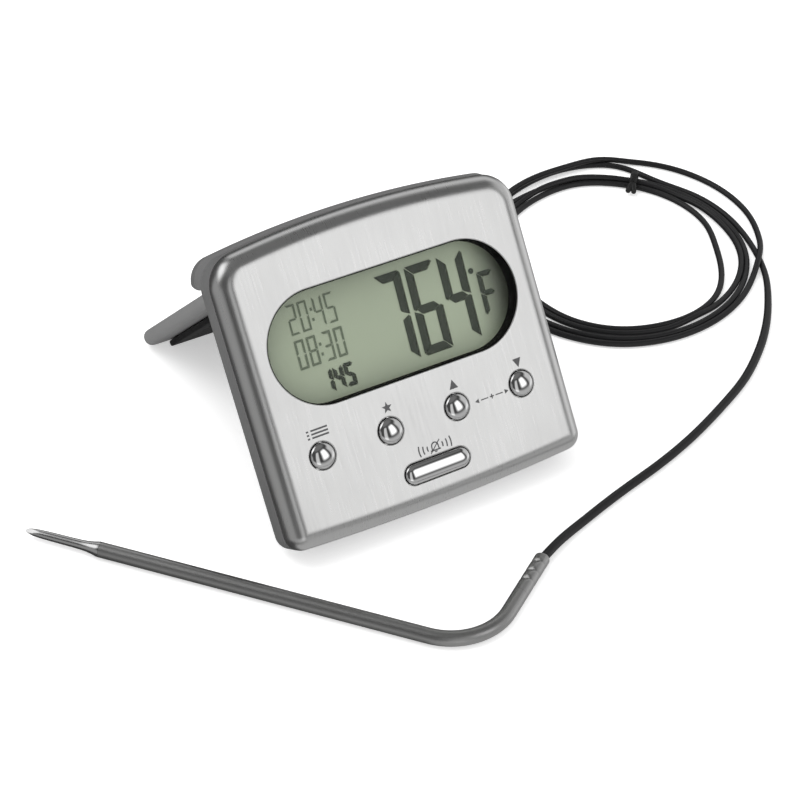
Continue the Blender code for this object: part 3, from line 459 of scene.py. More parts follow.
def case_outline(inset=0.0, top_inset=None, top_corner=TOP_CORNER):
    """The case seen from the front: bowed top and bottom, straight sides, round corners."""
    top_inset = inset if top_inset is None else top_inset
    half = CASE_WIDTH / 2
    top_arc = (half ** 2 + TOP_BOW ** 2) / (2 * TOP_BOW)
    bottom_arc = (half ** 2 + BOTTOM_BOW ** 2) / (2 * BOTTOM_BOW)
    side = half - inset
    smallest = 0.0006
    top_radius = max(top_corner - max(inset, top_inset), smallest)
    bottom_radius = max(BOTTOM_CORNER - inset, smallest)
    top_x = side - top_radius
    bottom_x = side - bottom_radius
    arc_y = CASE_HEIGHT - top_arc
    top_y = arc_y + math.sqrt((top_arc - top_inset - top_radius) ** 2 - top_x ** 2)
    bottom_y = bottom_arc - math.sqrt((bottom_arc - inset - bottom_radius) ** 2 - bottom_x ** 2)
    top_angle = math.atan2(top_y - arc_y, top_x)
    bottom_angle = math.atan2(bottom_y - bottom_arc, bottom_x)
    points = arc((bottom_x, bottom_y), bottom_radius, bottom_angle, 0, 10)
    points += arc((top_x, top_y), top_radius, 0, top_angle, 16)
    points += arc((0, arc_y), top_arc - top_inset, top_angle, math.pi - top_angle, 30)[1:-1]
    points += arc((-top_x, top_y), top_radius, math.pi - top_angle, math.pi, 16)
    points += arc((-bottom_x, bottom_y), bottom_radius, math.pi, math.pi - bottom_angle, 10)
    bottom_end = 2 * math.pi + bottom_angle
    points += arc((0, bottom_arc), bottom_arc - inset, math.pi - bottom_angle, bottom_end, 24)[1:-1]
    return points


def section(z, inset, top_inset=None, top_corner=TOP_CORNER):
    return level(case_outline(inset, top_inset, top_corner), z)


def quarter_round(start_z, depth, side, steps):
    """Sections that turn from the side wall to a flat face at start_z + depth."""
    rows = []
    for i in range(steps + 1):
        angle = math.pi / 2 * i / steps
        rows.append(section(start_z + depth * math.sin(angle), side + abs(depth) * (1 - math.cos(angle))))
    return rows


def bridge(bm, rings):
    """Join closed rings of vertices, in order, with quads."""
    count = len(rings[0])
    for ring, following in zip(rings, rings[1:]):
        for i in range(count):
            j = (i + 1) % count
            bm.faces.new((ring[i], ring[j], following[j], following[i]))


def new_ring(bm, points):
    return [bm.verts.new(point) for point in points]


def ring_edges(bm, ring):
    return [bm.edges.get((a, b)) or bm.edges.new((a, b)) for a, b in zip(ring, ring[1:] + ring[:1])]


def fill_between(bm, rings):
    """A flat face bounded by the first ring, with the others as its holes."""
    edges = [edge for ring in rings for edge in ring_edges(bm, ring)]
    bmesh.ops.triangle_fill(bm, use_beauty=True, use_dissolve=False, edges=edges, normal=(0, 0, 1))


def loft(sections, sharp=35):
    bm = bmesh.new()
    rings = [new_ring(bm, points) for points in sections]
    bridge(bm, rings)
    bm.faces.new(rings[0])
    bm.faces.new(rings[-1])
    return finish_mesh("loft", bm, sharp)


def turned(name, profile, steps=64, sharp=35):
    """A solid turned about Z from a profile of radius and height."""
    bm = bmesh.new()
    verts = [bm.verts.new((radius, 0, height)) for radius, height in profile]
    edges = [bm.edges.new(pair) for pair in zip(verts, verts[1:])]
    bmesh.ops.spin(bm, geom=verts + edges, cent=(0, 0, 0), axis=(0, 0, 1), angle=2 * math.pi, steps=steps,
                   use_duplicate=False)
    bmesh.ops.remove_doubles(bm, verts=bm.verts, dist=0.000002)
    return finish_mesh(name, bm, sharp)


def plate(name, outlines, low, high, sharp=35):
    """A flat piece from low to high; outlines inside the first are holes."""
    bm = bmesh.new()
    lower, upper = [[new_ring(bm, level(outline, z)) for outline in outlines] for z in (low, high)]
    for below, above in zip(lower, upper):
        bridge(bm, [below, above])
    fill_between(bm, lower)
    fill_between(bm, upper)
    return finish_mesh(name, bm, sharp)


def block(low, high):
    bm = bmesh.new()
    bmesh.ops.create_cube(bm, size=1.0)
    size = Vector(high) - Vector(low)
    bmesh.ops.scale(bm, vec=size, verts=bm.verts)
    bmesh.ops.translate(bm, vec=Vector(low) + size / 2, verts=bm.verts)
    return finish_mesh("block", bm)


def rod(radius, low, high, steps=32):
    return turned("rod", [(0, high), (radius, high), (radius, low), (0, low)], steps)


def tube(name, places, radius, roundness, scales):
    """A round curve through places, its radius scaled at each."""
    curve = bpy.data.curves.new(name, "CURVE")
    curve.dimensions = "3D"
    curve.bevel_depth = radius
    curve.bevel_resolution = roundness
    curve.use_fill_caps = True
    spline = curve.splines.new("POLY")
    spline.points.add(len(places) - 1)
    for point, place, scale in zip(spline.points, places, scales):
        point.co = (*place, 1)
        point.radius = scale
    spline.use_smooth = True
    return curve


def bake(obj):
    """Apply all of an object's modifiers."""
    bpy.context.view_layer.update()
    mesh = bpy.data.meshes.new_from_object(obj.evaluated_get(bpy.context.evaluated_depsgraph_get()))
    obj.modifiers.clear()
    obj.data = mesh


def released(obj, sharp):
    """The shape of a working object, which goes."""
    mesh = obj.data
    bpy.data.objects.remove(obj, do_unlink=True)
    return shaded(mesh, sharp)


def cut(mesh, matrix=STILL):
    return mesh, matrix, "DIFFERENCE"


def join(mesh, matrix=STILL):
    return mesh, matrix, "UNION"


def combined(mesh, tools, sharp=35):
    """Add or take away tools, each (mesh, matrix, operation), and return the new mesh."""
    target = linked("target", mesh)
    for tool_mesh, matrix, operation in tools:
        tool = linked("tool", tool_mesh)
        tool.matrix_world = matrix
        modifier = target.modifiers.new("cut", "BOOLEAN")
        modifier.operation = operation
        modifier.object = tool
        bake(target)
        bpy.data.objects.remove(tool, do_unlink=True)
    return released(target, sharp)


def rounded(mesh, width, segments, angle=50, sharp=35):
    obj = linked("rounded", mesh)
    edge = obj.modifiers.new("edge", "BEVEL")
    edge.width = width
    edge.segments = segments
    edge.limit_method = "ANGLE"
    edge.angle_limit = math.radians(angle)
    edge.use_clamp_overlap = False
    bake(obj)
    return released(obj, sharp)


# ---------------------------------------------------------------- cord

def smooth_path(points, spacing):
    """Points at about equal spacing along a Catmull-Rom curve, and the given point before each."""
    knots = [Vector(p) for p in points]
    ends = [2 * knots[0] - knots[1]] + knots + [2 * knots[-1] - knots[-2]]
    path, knot_of = [], []
    for knot, (a, b, c, d) in enumerate(zip(ends, ends[1:], ends[2:], ends[3:])):
        steps = max(1, round((c - b).length / spacing))
        for i in range(steps):
            t = i / steps
            path.append(0.5 * (2 * b + (c - a) * t + (2 * a - 5 * b + 4 * c - d) * t ** 2
                               + (3 * b - a - 3 * c + d) * t ** 3))
        knot_of += [knot] * steps
    return path + [knots[-1]], knot_of + [len(knots) - 1]


def about_coil(degrees, radius_mm, height=0.0):
    angle = math.radians(degrees)
    return Vector((COIL_CENTRE[0] + radius_mm * MM * math.cos(angle),
                   COIL_CENTRE[1] + radius_mm * MM * math.sin(angle), height))


def eased(heights, lengths):
    """Raise heights so that no stretch is steeper than the cord's slope."""
    apart = np.abs(lengths[:, None] - lengths[None, :])
    return np.max(heights[None, :] - CORD_SLOPE * apart, axis=1)


def softened(values, reach):
    """Each value evened out with its neighbours, as far as reach on either side."""
    weights = reach + 1 - np.abs(np.arange(-reach, reach + 1))
    return np.convolve(np.pad(values, reach, mode="edge"), weights / weights.sum(), mode="valid")


def smooth_step(t):
    t = np.clip(t, 0, 1)
    return t * t * (3 - 2 * t)


def cord_points(layout):
    """The points that the cord's centre line runs through, and the coil turn of each, -1 before it."""
    floor = CORD_RADIUS + TABLE_GAP
    points = [CASE @ Vector((*JACK_PLACE, RELIEF_END_Z - TOUCH_GAP)) - REST_EDGE]
    points += [Vector(p) for p in LEAD_POINTS] + [Vector((x, y, floor)) for x, y in LEAD_TURN]
    turns = [-1] * len(points)
    for turn, radii in enumerate(TURN_RADII_MM):
        points += [about_coil(TURN_START - TURN_STEP * step, radius, floor)
                   for step, radius in enumerate(radii)]
        turns += [turn] * len(radii)
    points += [about_coil(degrees, radius, floor) for degrees, radius in COIL_LEAVES]
    points += [Vector((x, y, floor)) for x, y in TAIL_POINTS]
    points.append(layout["end"] - layout["out_direction"] * CORD_PUSHED_IN)
    return points, turns + turns[-1:] * (len(points) - len(turns))


def cord_radii(place, lengths, turn_of):
    """The cord's radius at each place: thinner in the coil than at the ends."""
    coil_start = lengths[np.argmax(turn_of == 0)]
    away = np.hypot(place[:, 0] - COIL_CENTRE[0], place[:, 1] - COIL_CENTRE[1])
    coil_end = lengths[np.where(away < COIL_REACH)[0].max()]
    (before, thinning), (after, thickening) = THINNING
    thin = np.clip((lengths - coil_start + before) / thinning, 0, 1)
    thin = thin * np.clip((coil_end + after - lengths) / thickening, 0, 1)
    return CORD_RADIUS + (COIL_CORD_RADIUS - CORD_RADIUS) * smooth_step(thin)


def cord_route():
    """The cord's centre line from its plug to the probe, and its radii."""
    layout = probe_layout()
    points, turns = cord_points(layout)
    path, knot_of = smooth_path(points, CORD_STEP)
    place = np.array([list(p) for p in path])
    turn_of = np.array(turns)[knot_of]
    inner = slice(KEPT_ENDS[0], -KEPT_ENDS[1])
    for axis in (0, 1):
        place[inner, axis] = softened(place[:, axis], 4)[inner]
    steps = np.linalg.norm(np.diff(place, axis=0), axis=1)
    lengths = np.concatenate([[0], np.cumsum(steps)])
    radii = cord_radii(place, lengths, turn_of)

    flat = turn_of >= 0
    heights = place[:, 2].copy()
    heights[flat] = radii[flat] + TABLE_GAP
    laid = np.zeros(len(heights), bool)
    for turn in TURN_LAYERS:
        mine = np.where(turn_of == turn)[0]
        below = np.where(laid)[0]
        if len(below):
            gap = np.linalg.norm(place[mine][:, None, :2] - place[below][None, :, :2], axis=2)
            reach = (radii[mine][:, None] + radii[below][None, :]) * STRAND_PRESS
            far_along = np.abs(lengths[mine][:, None] - lengths[below][None, :]) > SAME_STRAND
            lift = heights[below][None, :] + np.sqrt(np.clip(reach ** 2 - gap ** 2, 0, None))
            lift = np.where((gap < reach) & far_along, lift, 0)
            heights[mine] = np.maximum(heights[mine], lift.max(axis=1))
        heights[mine] = eased(heights[mine], lengths[mine])
        laid[mine] = True
    on_table = np.where(flat)[0]
    heights[on_table] = eased(heights[on_table], lengths[on_table])
    heights[on_table[4:-6]] = softened(heights, 2)[on_table[4:-6]]
    before_end, rise = PROBE_RISE
    towards_probe = smooth_step((lengths - lengths[-1] + before_end) / rise)
    place[:, 2] = heights + (layout["end"].z - heights) * towards_probe
    return place, radii


def make_cord():
    place, radii = cord_route()
    curve = tube("probe_cord", place, CORD_RADIUS, 4, radii / CORD_RADIUS)
    cord = piece("probe_cord", curve, CORD_JACKET, "cable_lead", "cable_coil", "cable_tail", matrix=TABLE)
    steps = np.linalg.norm(np.diff(place, axis=0), axis=1)
    return cord, float(steps.sum()), Vector(place[0]) + REST_EDGE


def make_tie():
    """A black twist tie: a band round the coil's bundle, closed by a knob on its inner side."""
    degrees, radius = TIE_PLACE
    centre = about_coil(degrees, radius, 0.0030)
    across = Vector((math.cos(math.radians(degrees)), math.sin(math.radians(degrees)), 0))
    along = Vector((-across.y, across.x, 0))
    half_width, half_height = 0.0032, 0.0026
    bm = bmesh.new()
    middles = oval(centre, across * half_width, UP * half_height, 32)
    rings = [new_ring(bm, oval(middle, along * 0.0013, outward * 0.00032, 10))
             for middle, outward in zip(middles, oval(Vector(), across, UP, 32))]
    bridge(bm, rings + rings[:1])
    knob = centre - across * (half_width + 0.0012)
    for side in (-1, 1):
        spots = [knob + across * 0.0014, knob - across * 0.0006 + along * (0.0006 * side),
                 knob - across * 0.0024 + along * (0.0010 * side) - UP * 0.0008]
        loops = [new_ring(bm, oval(spot, along * size, UP * size, 10))
                 for spot, size in zip(spots, (0.0011, 0.0012, 0.0009))]
        bridge(bm, loops)
        bm.faces.new(loops[0])
        bm.faces.new(loops[-1])
    return piece("coil_tie", finish_mesh("coil_tie", bm, 50), BLACK_PLASTIC, "cable_tie", matrix=TABLE)


def make_plug():
    """The plug's ribbed grip, and the soft ringed sleeve that the cord leaves it by."""
    grip = [(0, -0.0009), (0.0022, -0.0009), (0.00255, -0.0011), (0.0028, -0.0015), (0.0028, -0.0030)]
    for i in range(5):
        z = -0.0040 - i * 0.0013
        grip += [(0.0028, z), (0.00255, z - 0.0002), (0.00255, z - 0.0005), (0.0028, z - 0.0007)]
    grip += [(0.0028, -0.0120), (0.0026, -0.0133), (0.0022, -0.0145), (0.0020, -0.0150), (0, -0.0150)]
    sleeve = [(0, -0.0153), (0.0024, -0.0153), (0.0024, -0.0160)]
    for i in range(5):
        z = -0.0166 - i * 0.0014
        big = 0.0023 - i * 0.00013
        sleeve += [(big, z), (big - 0.0004, z - 0.0002), (big - 0.0004, z - 0.0006), (big, z - 0.0008)]
    sleeve += [(0.0017, RELIEF_END_Z + 0.0004), (0.0015, RELIEF_END_Z), (0, RELIEF_END_Z)]
    matrix = CASE @ at(*JACK_PLACE)
    return [piece("probe_plug", turned("probe_plug", grip, 48), BLACK_PLASTIC, "plug_body", matrix=matrix),
            piece("plug_relief", turned("plug_relief", sleeve, 40), BLACK_RUBBER, "plug_strain_relief",
                  matrix=matrix)]


# ---------------------------------------------------------------- case

def button_places():
    return [((i - 1.5) * BUTTON_PITCH, BUTTON_Y) for i in range(4)]


def grown_holes(grow):
    """The front sheet's openings, each grown by grow: window, four round holes and the pill's."""
    holes = [stadium(WINDOW_SIZE[0] + 2 * grow, WINDOW_SIZE[1] + 2 * grow, 40, (0, WINDOW_Y))]
    holes += [circle(place, BUTTON_HOLE + grow, 48) for place in button_places()]
    holes.append(stadium(PILL_HOLE[0] + 2 * grow, PILL_HOLE[1] + 2 * grow, 20, (0, PILL_Y)))
    return holes


def make_front():
    """The pressed steel front: side wall, rolled edge, flat face and softened hole edges."""
    back_z = SEAM_Z + SEAM_GAP
    round_z = FACE_Z - BEZEL_ROUND
    bm = bmesh.new()
    inner = quarter_round(round_z, BEZEL_ROUND - SHEET, SHEET, 8)
    outer = quarter_round(round_z, BEZEL_ROUND, 0, 14)
    outer.append(section(FACE_Z, BEZEL_ROUND + 0.0004))
    brim = [section(back_z, SHEET), section(back_z, 0.0001), section(back_z + 0.0001, 0)]
    rings = [new_ring(bm, row) for row in inner[::-1] + brim + outer]
    bridge(bm, rings)
    edge = SHEET_EDGE
    steps = [(0.0005, FACE_Z), (edge, FACE_Z), (edge * 0.30, FACE_Z - edge * 0.30), (0, FACE_Z - edge),
             (0, FACE_Z - SHEET)]
    levels = [[new_ring(bm, level(hole, z)) for hole in grown_holes(grow)] for grow, z in steps]
    for hole_rings in zip(*levels):
        bridge(bm, list(hole_rings))
    fill_between(bm, [rings[-1]] + levels[0])
    fill_between(bm, [rings[0]] + levels[-1])
    piece("steel_front", finish_mesh("steel_front", bm, 50), BRUSHED, "front_bezel")


def make_window():
    """The black collar behind the window's edge, and the clear lens inside it."""
    width, height = WINDOW_SIZE
    outside, inside, clear = [stadium(width - less, height - less, 40, (0, WINDOW_Y))
                              for less in (0.00006, 2 * COLLAR_WALL, 2.2 * COLLAR_WALL)]
    collar = plate("window_collar", [outside, inside], 0.0088, FACE_Z - 0.00035)
    # the collar's near-black is its own black plus painted shade of the recess
    piece("window_collar", collar, COLLAR_BLACK_AND_SHADE, "lcd_shroud")
    piece("window_lens", plate("window_lens", [clear], 0.0119, 0.0126), LENS, "lcd_lens")


SEGMENTS = {    # the bars that each figure lights: top, upper two, middle, lower two and bottom, left first
    "0": "1110111", "1": "0010010", "2": "1011101", "3": "1011011", "4": "0111010", "5": "1101011",
    "6": "1101111", "7": "1010010", "8": "1111111", "9": "1111011", "F": "1101100"}


def bars(figure, width, height, thick, gap):
    """Outlines of a seven-segment figure's bars, from its lower left corner."""
    half = height / 2
    t = thick
    g = gap

    def across(y, shape):
        if shape == "top":
            return [(g, y), (width - g, y), (width - t, y - t), (t, y - t)]
        if shape == "bottom":
            return [(t, y + t), (width - t, y + t), (width - g, y), (g, y)]
        return [(g + t * 0.4, y), (t, y + t / 2), (width - t, y + t / 2), (width - g - t * 0.4, y),
                (width - t, y - t / 2), (t, y - t / 2)]

    def upright(x, low, high, outer):
        inner = x + t * outer
        low_cut = t * 0.5 if low > t else t
        high_cut = t if high > half + t else t * 0.5
        return [(x, low + g), (x, high - g), (inner, high - high_cut - g), (inner, low + low_cut + g)]

    shapes = [across(height, "top"), upright(0, half, height, 1), upright(width, half, height, -1),
              across(half, "middle"), upright(0, 0, half, 1), upright(width, 0, half, -1),
              across(0, "bottom")]
    return [shape for lit, shape in zip(SEGMENTS[figure], shapes) if lit == "1"]


def figures(text, left, bottom, width, height, thick, pitch, gap, slant=0.035):
    outlines = []
    for i, figure in enumerate(text):
        for shape in bars(figure, width, height, thick, gap):
            outlines.append([(left + i * pitch + x + y * slant, bottom + y) for x, y in shape])
    return outlines


def flat_shapes(name, outlines, z, thick=0.00002):
    """Thin separate islands at a height, as one mesh; outlines are in millimetres."""
    bm = bmesh.new()
    for outline in outlines:
        outline = [(x * MM, y * MM) for x, y in outline]
        lower, upper = [new_ring(bm, level(outline, height)) for height in (z, z + thick)]
        bridge(bm, [lower, upper])
        bm.faces.new(lower)
        bm.faces.new(upper)
    return finish_mesh(name, bm, 30)


def paint_panel_end_shade():
    """Painted shade: the panel's colour darkens towards the window's right end, under the frame's overhang.
    """
    nodes = Nodes(LCD.node_tree)
    shader = LCD.node_tree.nodes["Principled BSDF"]
    color = shader.inputs["Base Color"].links[0].from_socket
    place = nodes.add("ShaderNodeTexCoord").outputs["Object"]
    x = nodes.add("ShaderNodeSeparateXYZ", {0: place}).outputs["X"]
    # painted shade: the panel's colour falls to a tenth of itself towards its right end
    right = nodes.ramp(x, REST_EDGE.x + 0.0270, REST_EDGE.x + 0.0412)
    keep = nodes.math("SUBTRACT", 1.0, nodes.math("MULTIPLY", right, 0.90))
    shade = nodes.add("ShaderNodeVectorMath", {0: color, "Scale": keep}, operation="SCALE")
    nodes.fill(shader, {"Base Color": shade.outputs[0]})


def make_display():
    """The reading, a small number, two faint rows, and the soft shadows on the panel below."""
    panel_z = 0.0087
    large = []
    for figure, left, width in (("7", -1.9, 8.4), ("6", 8.4, 9.2), ("4", 19.4, 8.2)):
        large += figures(figure, left, 43.0, width, 26.4, 2.25, 0, 0.25)
    unit = figures("F", 31.3, 48.4, 4.9, 12.8, 1.25, 0, 0.15)
    degree = [circle((30.3, 62.2), 0.9, 12)]
    small = figures("145", -25.0, 42.0, 2.8, 6.6, 0.85, 3.5, 0.1)
    rows = []
    for text, left, bottom, width, height, thick, pitch in (
            ("20", -30.3, 60.8, 2.9, 8.8, 0.62, 3.75), ("45", -21.7, 60.8, 2.9, 8.8, 0.62, 3.75),
            ("08", -30.7, 50.6, 3.0, 8.6, 0.72, 3.85), ("30", -21.9, 50.6, 3.0, 8.6, 0.72, 3.85)):
        rows += figures(text, left, bottom, width, height, thick, pitch, 0.05)
    for x, y in ((-22.85, 63.0), (-22.75, 66.0), (-23.15, 52.7), (-23.05, 55.6)):
        rows.append([(x, y), (x + 0.75, y), (x + 0.75, y + 0.9), (x, y + 0.9)])
    lit_z = panel_z + 0.00012
    piece("reading", flat_shapes("reading", large + unit + degree + small, lit_z), SEGMENT)
    piece("small_rows", flat_shapes("small_rows", rows, lit_z), FAINT_SEGMENT)
    for number, shift, above in ((1, 0.28, 0.00008), (2, 0.55, 0.00004)):
        fallen = moved(large + unit + small, shift, -shift * 0.9)
        name = f"reading_shadow_{number}"
        piece(name, flat_shapes(name, fallen, panel_z + above), SEGMENT_SHADOW)


def make_brow():
    """The thick rounded band along the housing's top edge."""
    rows = [section(HOUSING_ROUND, -0.00001)]
    for i in range(17):
        angle = math.pi / 2 * i / 16
        side, top = [size * (1 - math.cos(angle)) - proud for size, proud in zip(HUMP_ROUND, HUMP_PROUD)]
        z = HUMP_START_Z - (HUMP_DEPTH + HUMP_START_Z) * math.sin(angle)
        rows.append(section(z, side, top, HUMP_CORNER + max(side, top)))
    keep = at(0, HUMP_UNDERSIDE_Y) @ Matrix.Rotation(HUMP_UNDERSIDE_TILT, 4, "X")
    return combined(loft(rows), [(block((-0.06, 0, -0.03), (0.06, 0.03, 0.03)), keep, "INTERSECT")])


def make_housing():
    """The moulded rear housing, with its brow, hinge lugs, feet and openings."""
    wall = HOUSING_WALL
    rows = [section(wall, wall), section(LIP_Z[0], wall), section(LIP_Z[0], LIP[1]),
            section(LIP_Z[1], LIP[1]), section(LIP_Z[1], LIP[0]), section(SEAM_Z, LIP[0]), section(SEAM_Z, 0)]
    rows += quarter_round(HOUSING_ROUND, -HOUSING_ROUND, 0, 6)

    tools = [join(make_brow())]
    for low, high in mirrored(LUG_X):
        lug = block((low, LUG_BOTTOM_Y, -0.0080), (high, 0.0845, 0.0008))
        tools.append(join(rounded(lug, 0.0006, 3)))
    length, width, height = FOOT_SIZE
    for low, high in mirrored((FOOT_X - length / 2, FOOT_X + length / 2)):
        foot = block((low, -width / 2, 0), (high, width / 2, height))
        tools.append(join(rounded(foot, 0.0004, 2), CASE.inverted() @ TABLE))
    tools.append(cut(loft([section(0.012, LIP[1]), section(wall, LIP[1])])))
    trough = at(0, *HINGE) @ about("Y", 90)
    tools.append(cut(rod(TROUGH_RADIUS, -TROUGH_HALF, TROUGH_HALF, 48), trough))
    tools += [cut(rod(PIN_BORE, *span, 24), trough) for span in mirrored(PIN_SPAN)]
    tools.append(cut(rod(JACK_HOLE, *CUT_Z), at(*JACK_PLACE)))
    recess = [(0, 0.0009), (0.0023, 0.0009), (0.0023, 0.0002), (0.0026, -0.0001), (0, -0.0001)]
    for place in CASE_SCREWS:
        tools += [cut(rod(SCREW_HOLE, *CUT_Z, 24), at(*place)), cut(turned("recess", recess), at(*place))]
    cell = at(0, CELL_Y)
    tools.append(cut(rod(CELL_BAY, *CUT_Z, 64), cell))
    x, y = NOTCH_SIZE[0] / 2, NOTCH_SIZE[1] / 2
    notch = block((-x, -y, CUT_Z[0]), (x, y, CUT_Z[1]))
    tools.append(cut(notch, cell @ Matrix.Rotation(COVER_TURN, 4, "Z")))
    plaque = stadium(*PLAQUE_SIZE, 12, (0, PLAQUE_Y))
    tools.append(cut(loft([level(plaque, CUT_Z[0]), level(plaque, PLAQUE_DEPTH)])))
    piece("grey_housing", combined(loft(rows), tools, 30), GREY_PLASTIC, "rear_housing")


def make_screws():
    """Countersunk cross-head screws in the housing's back."""
    core, crest, crest_z = 0.00072, 0.0009, 0.00121
    rim = [(0, 0.0012), (crest, 0.0012), (crest, 0.0006), (0.0019, 0.0006), (0.0019, 0.0001),
           (0.0017, -0.0001), (0.0012, -0.00025), (0.0006, -0.0003), (0, -0.0003)]
    thread = [(0, crest_z), (crest, crest_z)]
    for k in range(14):
        z = 0.0015 + 0.00045 * k
        thread += [(core, z), (crest, z + 0.0002)]
    thread.append((0, 0.0086))
    for i, place in enumerate(CASE_SCREWS):
        cross = [cut(block((-0.0011, -0.00019, -0.001), (0.0011, 0.00019, 0.0003)), about("Z", turn + 31 * i))
                 for turn in (25, 115)]
        head = combined(turned("head", rim, 40), cross)
        screw = combined(head, [join(turned("shank", thread, 20))])
        piece(f"back_screw_{i + 1}", screw, SCREW_STEEL, f"case_screw_{i + 1}", matrix=CASE @ at(*place))


def make_cover():
    """The coin cell's round cover, with its slot, grip marks and two bayonet tabs."""
    profile = [(0, 0.0013), (0.0107, 0.0013), (0.0107, 0.0029), (0.0117, 0.0029), (0.0117, 0.0013),
               (COVER_RADIUS, 0.0013), (COVER_RADIUS, 0.0003), (COVER_RADIUS - 0.0001, 0.0001),
               (COVER_RADIUS - 0.0003, 0), (0.0095, 0), (0.0093, 0.0002), (0, 0.0002)]
    tools = [join(block((low, -0.0020, 0.0020), (high, 0.0020, 0.0029)))
             for low, high in mirrored((0.0112, 0.0131))]
    tools.append(cut(loft([level(stadium(0.0140, 0.0016, 8), z) for z in (-0.001, 0.0008)])))
    for i in range(24):
        if i % 6:
            tools.append(cut(rod(0.00032, -0.0004, 0.0002, 10), about("Z", 15 * i) @ at(0.0107, 0)))
    piece("cell_cover", combined(turned("cover", profile, 96), tools), GREY_PLASTIC, "battery_cover",
          body="battery_cover", matrix=CASE @ at(0, CELL_Y))


def make_buttons():
    """Four domed round caps and a long one, each with a flange behind the sheet and a stem."""
    rim, back, stem = FLANGE_Z[1] - FACE_Z, FLANGE_Z[0] - FACE_Z, STEM_Z - FACE_Z
    flange = BUTTON_RADIUS + 0.0009
    profile = [(BUTTON_RADIUS * math.sin(math.radians(a)), BUTTON_DOME * math.cos(math.radians(a)))
               for a in range(0, 91, 3)]
    profile += [(BUTTON_RADIUS, rim), (flange, rim), (flange, back),
                (0.0018, back), (0.0018, stem), (0, stem)]
    for name, place in zip(BUTTON_NAMES, button_places()):
        piece(f"{name}_cap", turned(name, profile, 96, 60), CHROME, name, body=name,
              matrix=CASE @ at(*place, FACE_Z))

    length, height = PILL_SIZE
    post = stadium(length - height + 0.0030, 0.0030, 24)
    rows = [level(post, stem), level(post, back)]
    for grow, z in ((0.0018, back), (0.0018, rim), (0, rim), (0, 0)):
        rows.append(level(stadium(length + grow, height + grow, 24), z))
    for step in range(1, 15):
        angle = math.pi / 2 * step / 14.2
        shrink = height * (1 - math.cos(angle))
        rows.append(level(stadium(length - shrink, height - shrink, 24), PILL_DOME * math.sin(angle)))
    piece("alarm_off_cap", loft(rows, 60), CHROME, "alarm_off_button", body="alarm_off_button",
          matrix=CASE @ at(0, PILL_Y, FACE_Z))


# ---------------------------------------------------------------- printed signs

def ribbon(points, width):
    """A stroke of even width along a short open line, as one outline."""
    left, right = [], []
    for i, (x, y) in enumerate(points):
        ahead = points[min(i + 1, len(points) - 1)]
        behind = points[max(i - 1, 0)]
        run = Vector((ahead[0] - behind[0], ahead[1] - behind[1])).normalized() * width / 2
        left.append((x - run.y, y + run.x))
        right.append((x + run.y, y - run.x))
    return left + right[::-1]


def moved(outlines, x, y):
    return [[(px + x, py + y) for px, py in outline] for outline in outlines]


def triangle(x, y, size, turn):
    return [(x + size * math.cos(math.radians(turn + a)), y + size * math.sin(math.radians(turn + a)))
            for a in (0, 125, 235)]


def make_signs():
    """Plain signs over the buttons: list, star, up, down, a two-way arrow, and a crossed-out bell."""
    listing = []
    for y in (-1.05, 0, 1.05):
        listing += [ribbon([(-3.4, y), (-2.7, y)], 0.52), ribbon([(-2.0, y), (3.4, y)], 0.52)]
    star = []
    for i in range(10):
        reach = 1.75 if i % 2 == 0 else 0.74
        star.append((reach * math.sin(math.pi * i / 5), reach * math.cos(math.pi * i / 5)))
    bell = [ribbon([(-1.7, -1.0), (1.7, -1.0)], 0.40), ribbon([(-1.15, -0.9), (-1.05, 0.3)], 0.36),
            ribbon([(1.15, -0.9), (1.05, 0.3)], 0.36), ribbon(arc((0, 0.25), 1.05, 0, math.pi, 10), 0.40),
            ribbon([(-0.45, -1.45), (0.45, -1.45)], 0.34), ribbon([(-1.9, -1.7), (1.9, 1.7)], 0.30)]
    waves = []
    for sign in (-1, 1):
        for reach in (2.6, 4.0, 5.4):
            start = 0 if sign > 0 else math.pi
            waves.append(ribbon(arc((0, 0), reach, start - 0.30, start + 0.30, 6), 0.42))
    adjust = [triangle(18.2, 25.5, 0.85, 180), triangle(28.2, 25.5, 0.85, 0)]
    for start, end, width in (((19.4, 25.5), (21.9, 25.5), 0.34), ((24.5, 25.5), (27.0, 25.5), 0.34),
                              ((22.5, 25.5), (23.9, 25.5), 0.38), ((23.2, 24.8), (23.2, 26.2), 0.38)):
        adjust.append(ribbon([start, end], width))
    xs = [x / MM for x, _ in button_places()]
    signs = {
        "menu_sign": moved(listing, xs[0] + 0.5, 32.9),
        "preset_sign": moved([star], xs[1] + 0.9, 32.9),
        "up_sign": [triangle(xs[2] + 0.7, 32.5, 1.75, 90)],
        "down_sign": [triangle(xs[3] + 0.6, 32.7, 1.75, -90)],
        "adjust_sign": adjust,
        "alarm_off_sign": moved(bell + waves, 0.9, 17.3),
    }
    for name, outlines in signs.items():
        piece(name, flat_shapes(name, outlines, FACE_Z + 0.00001), INK)


# ---------------------------------------------------------------- stand

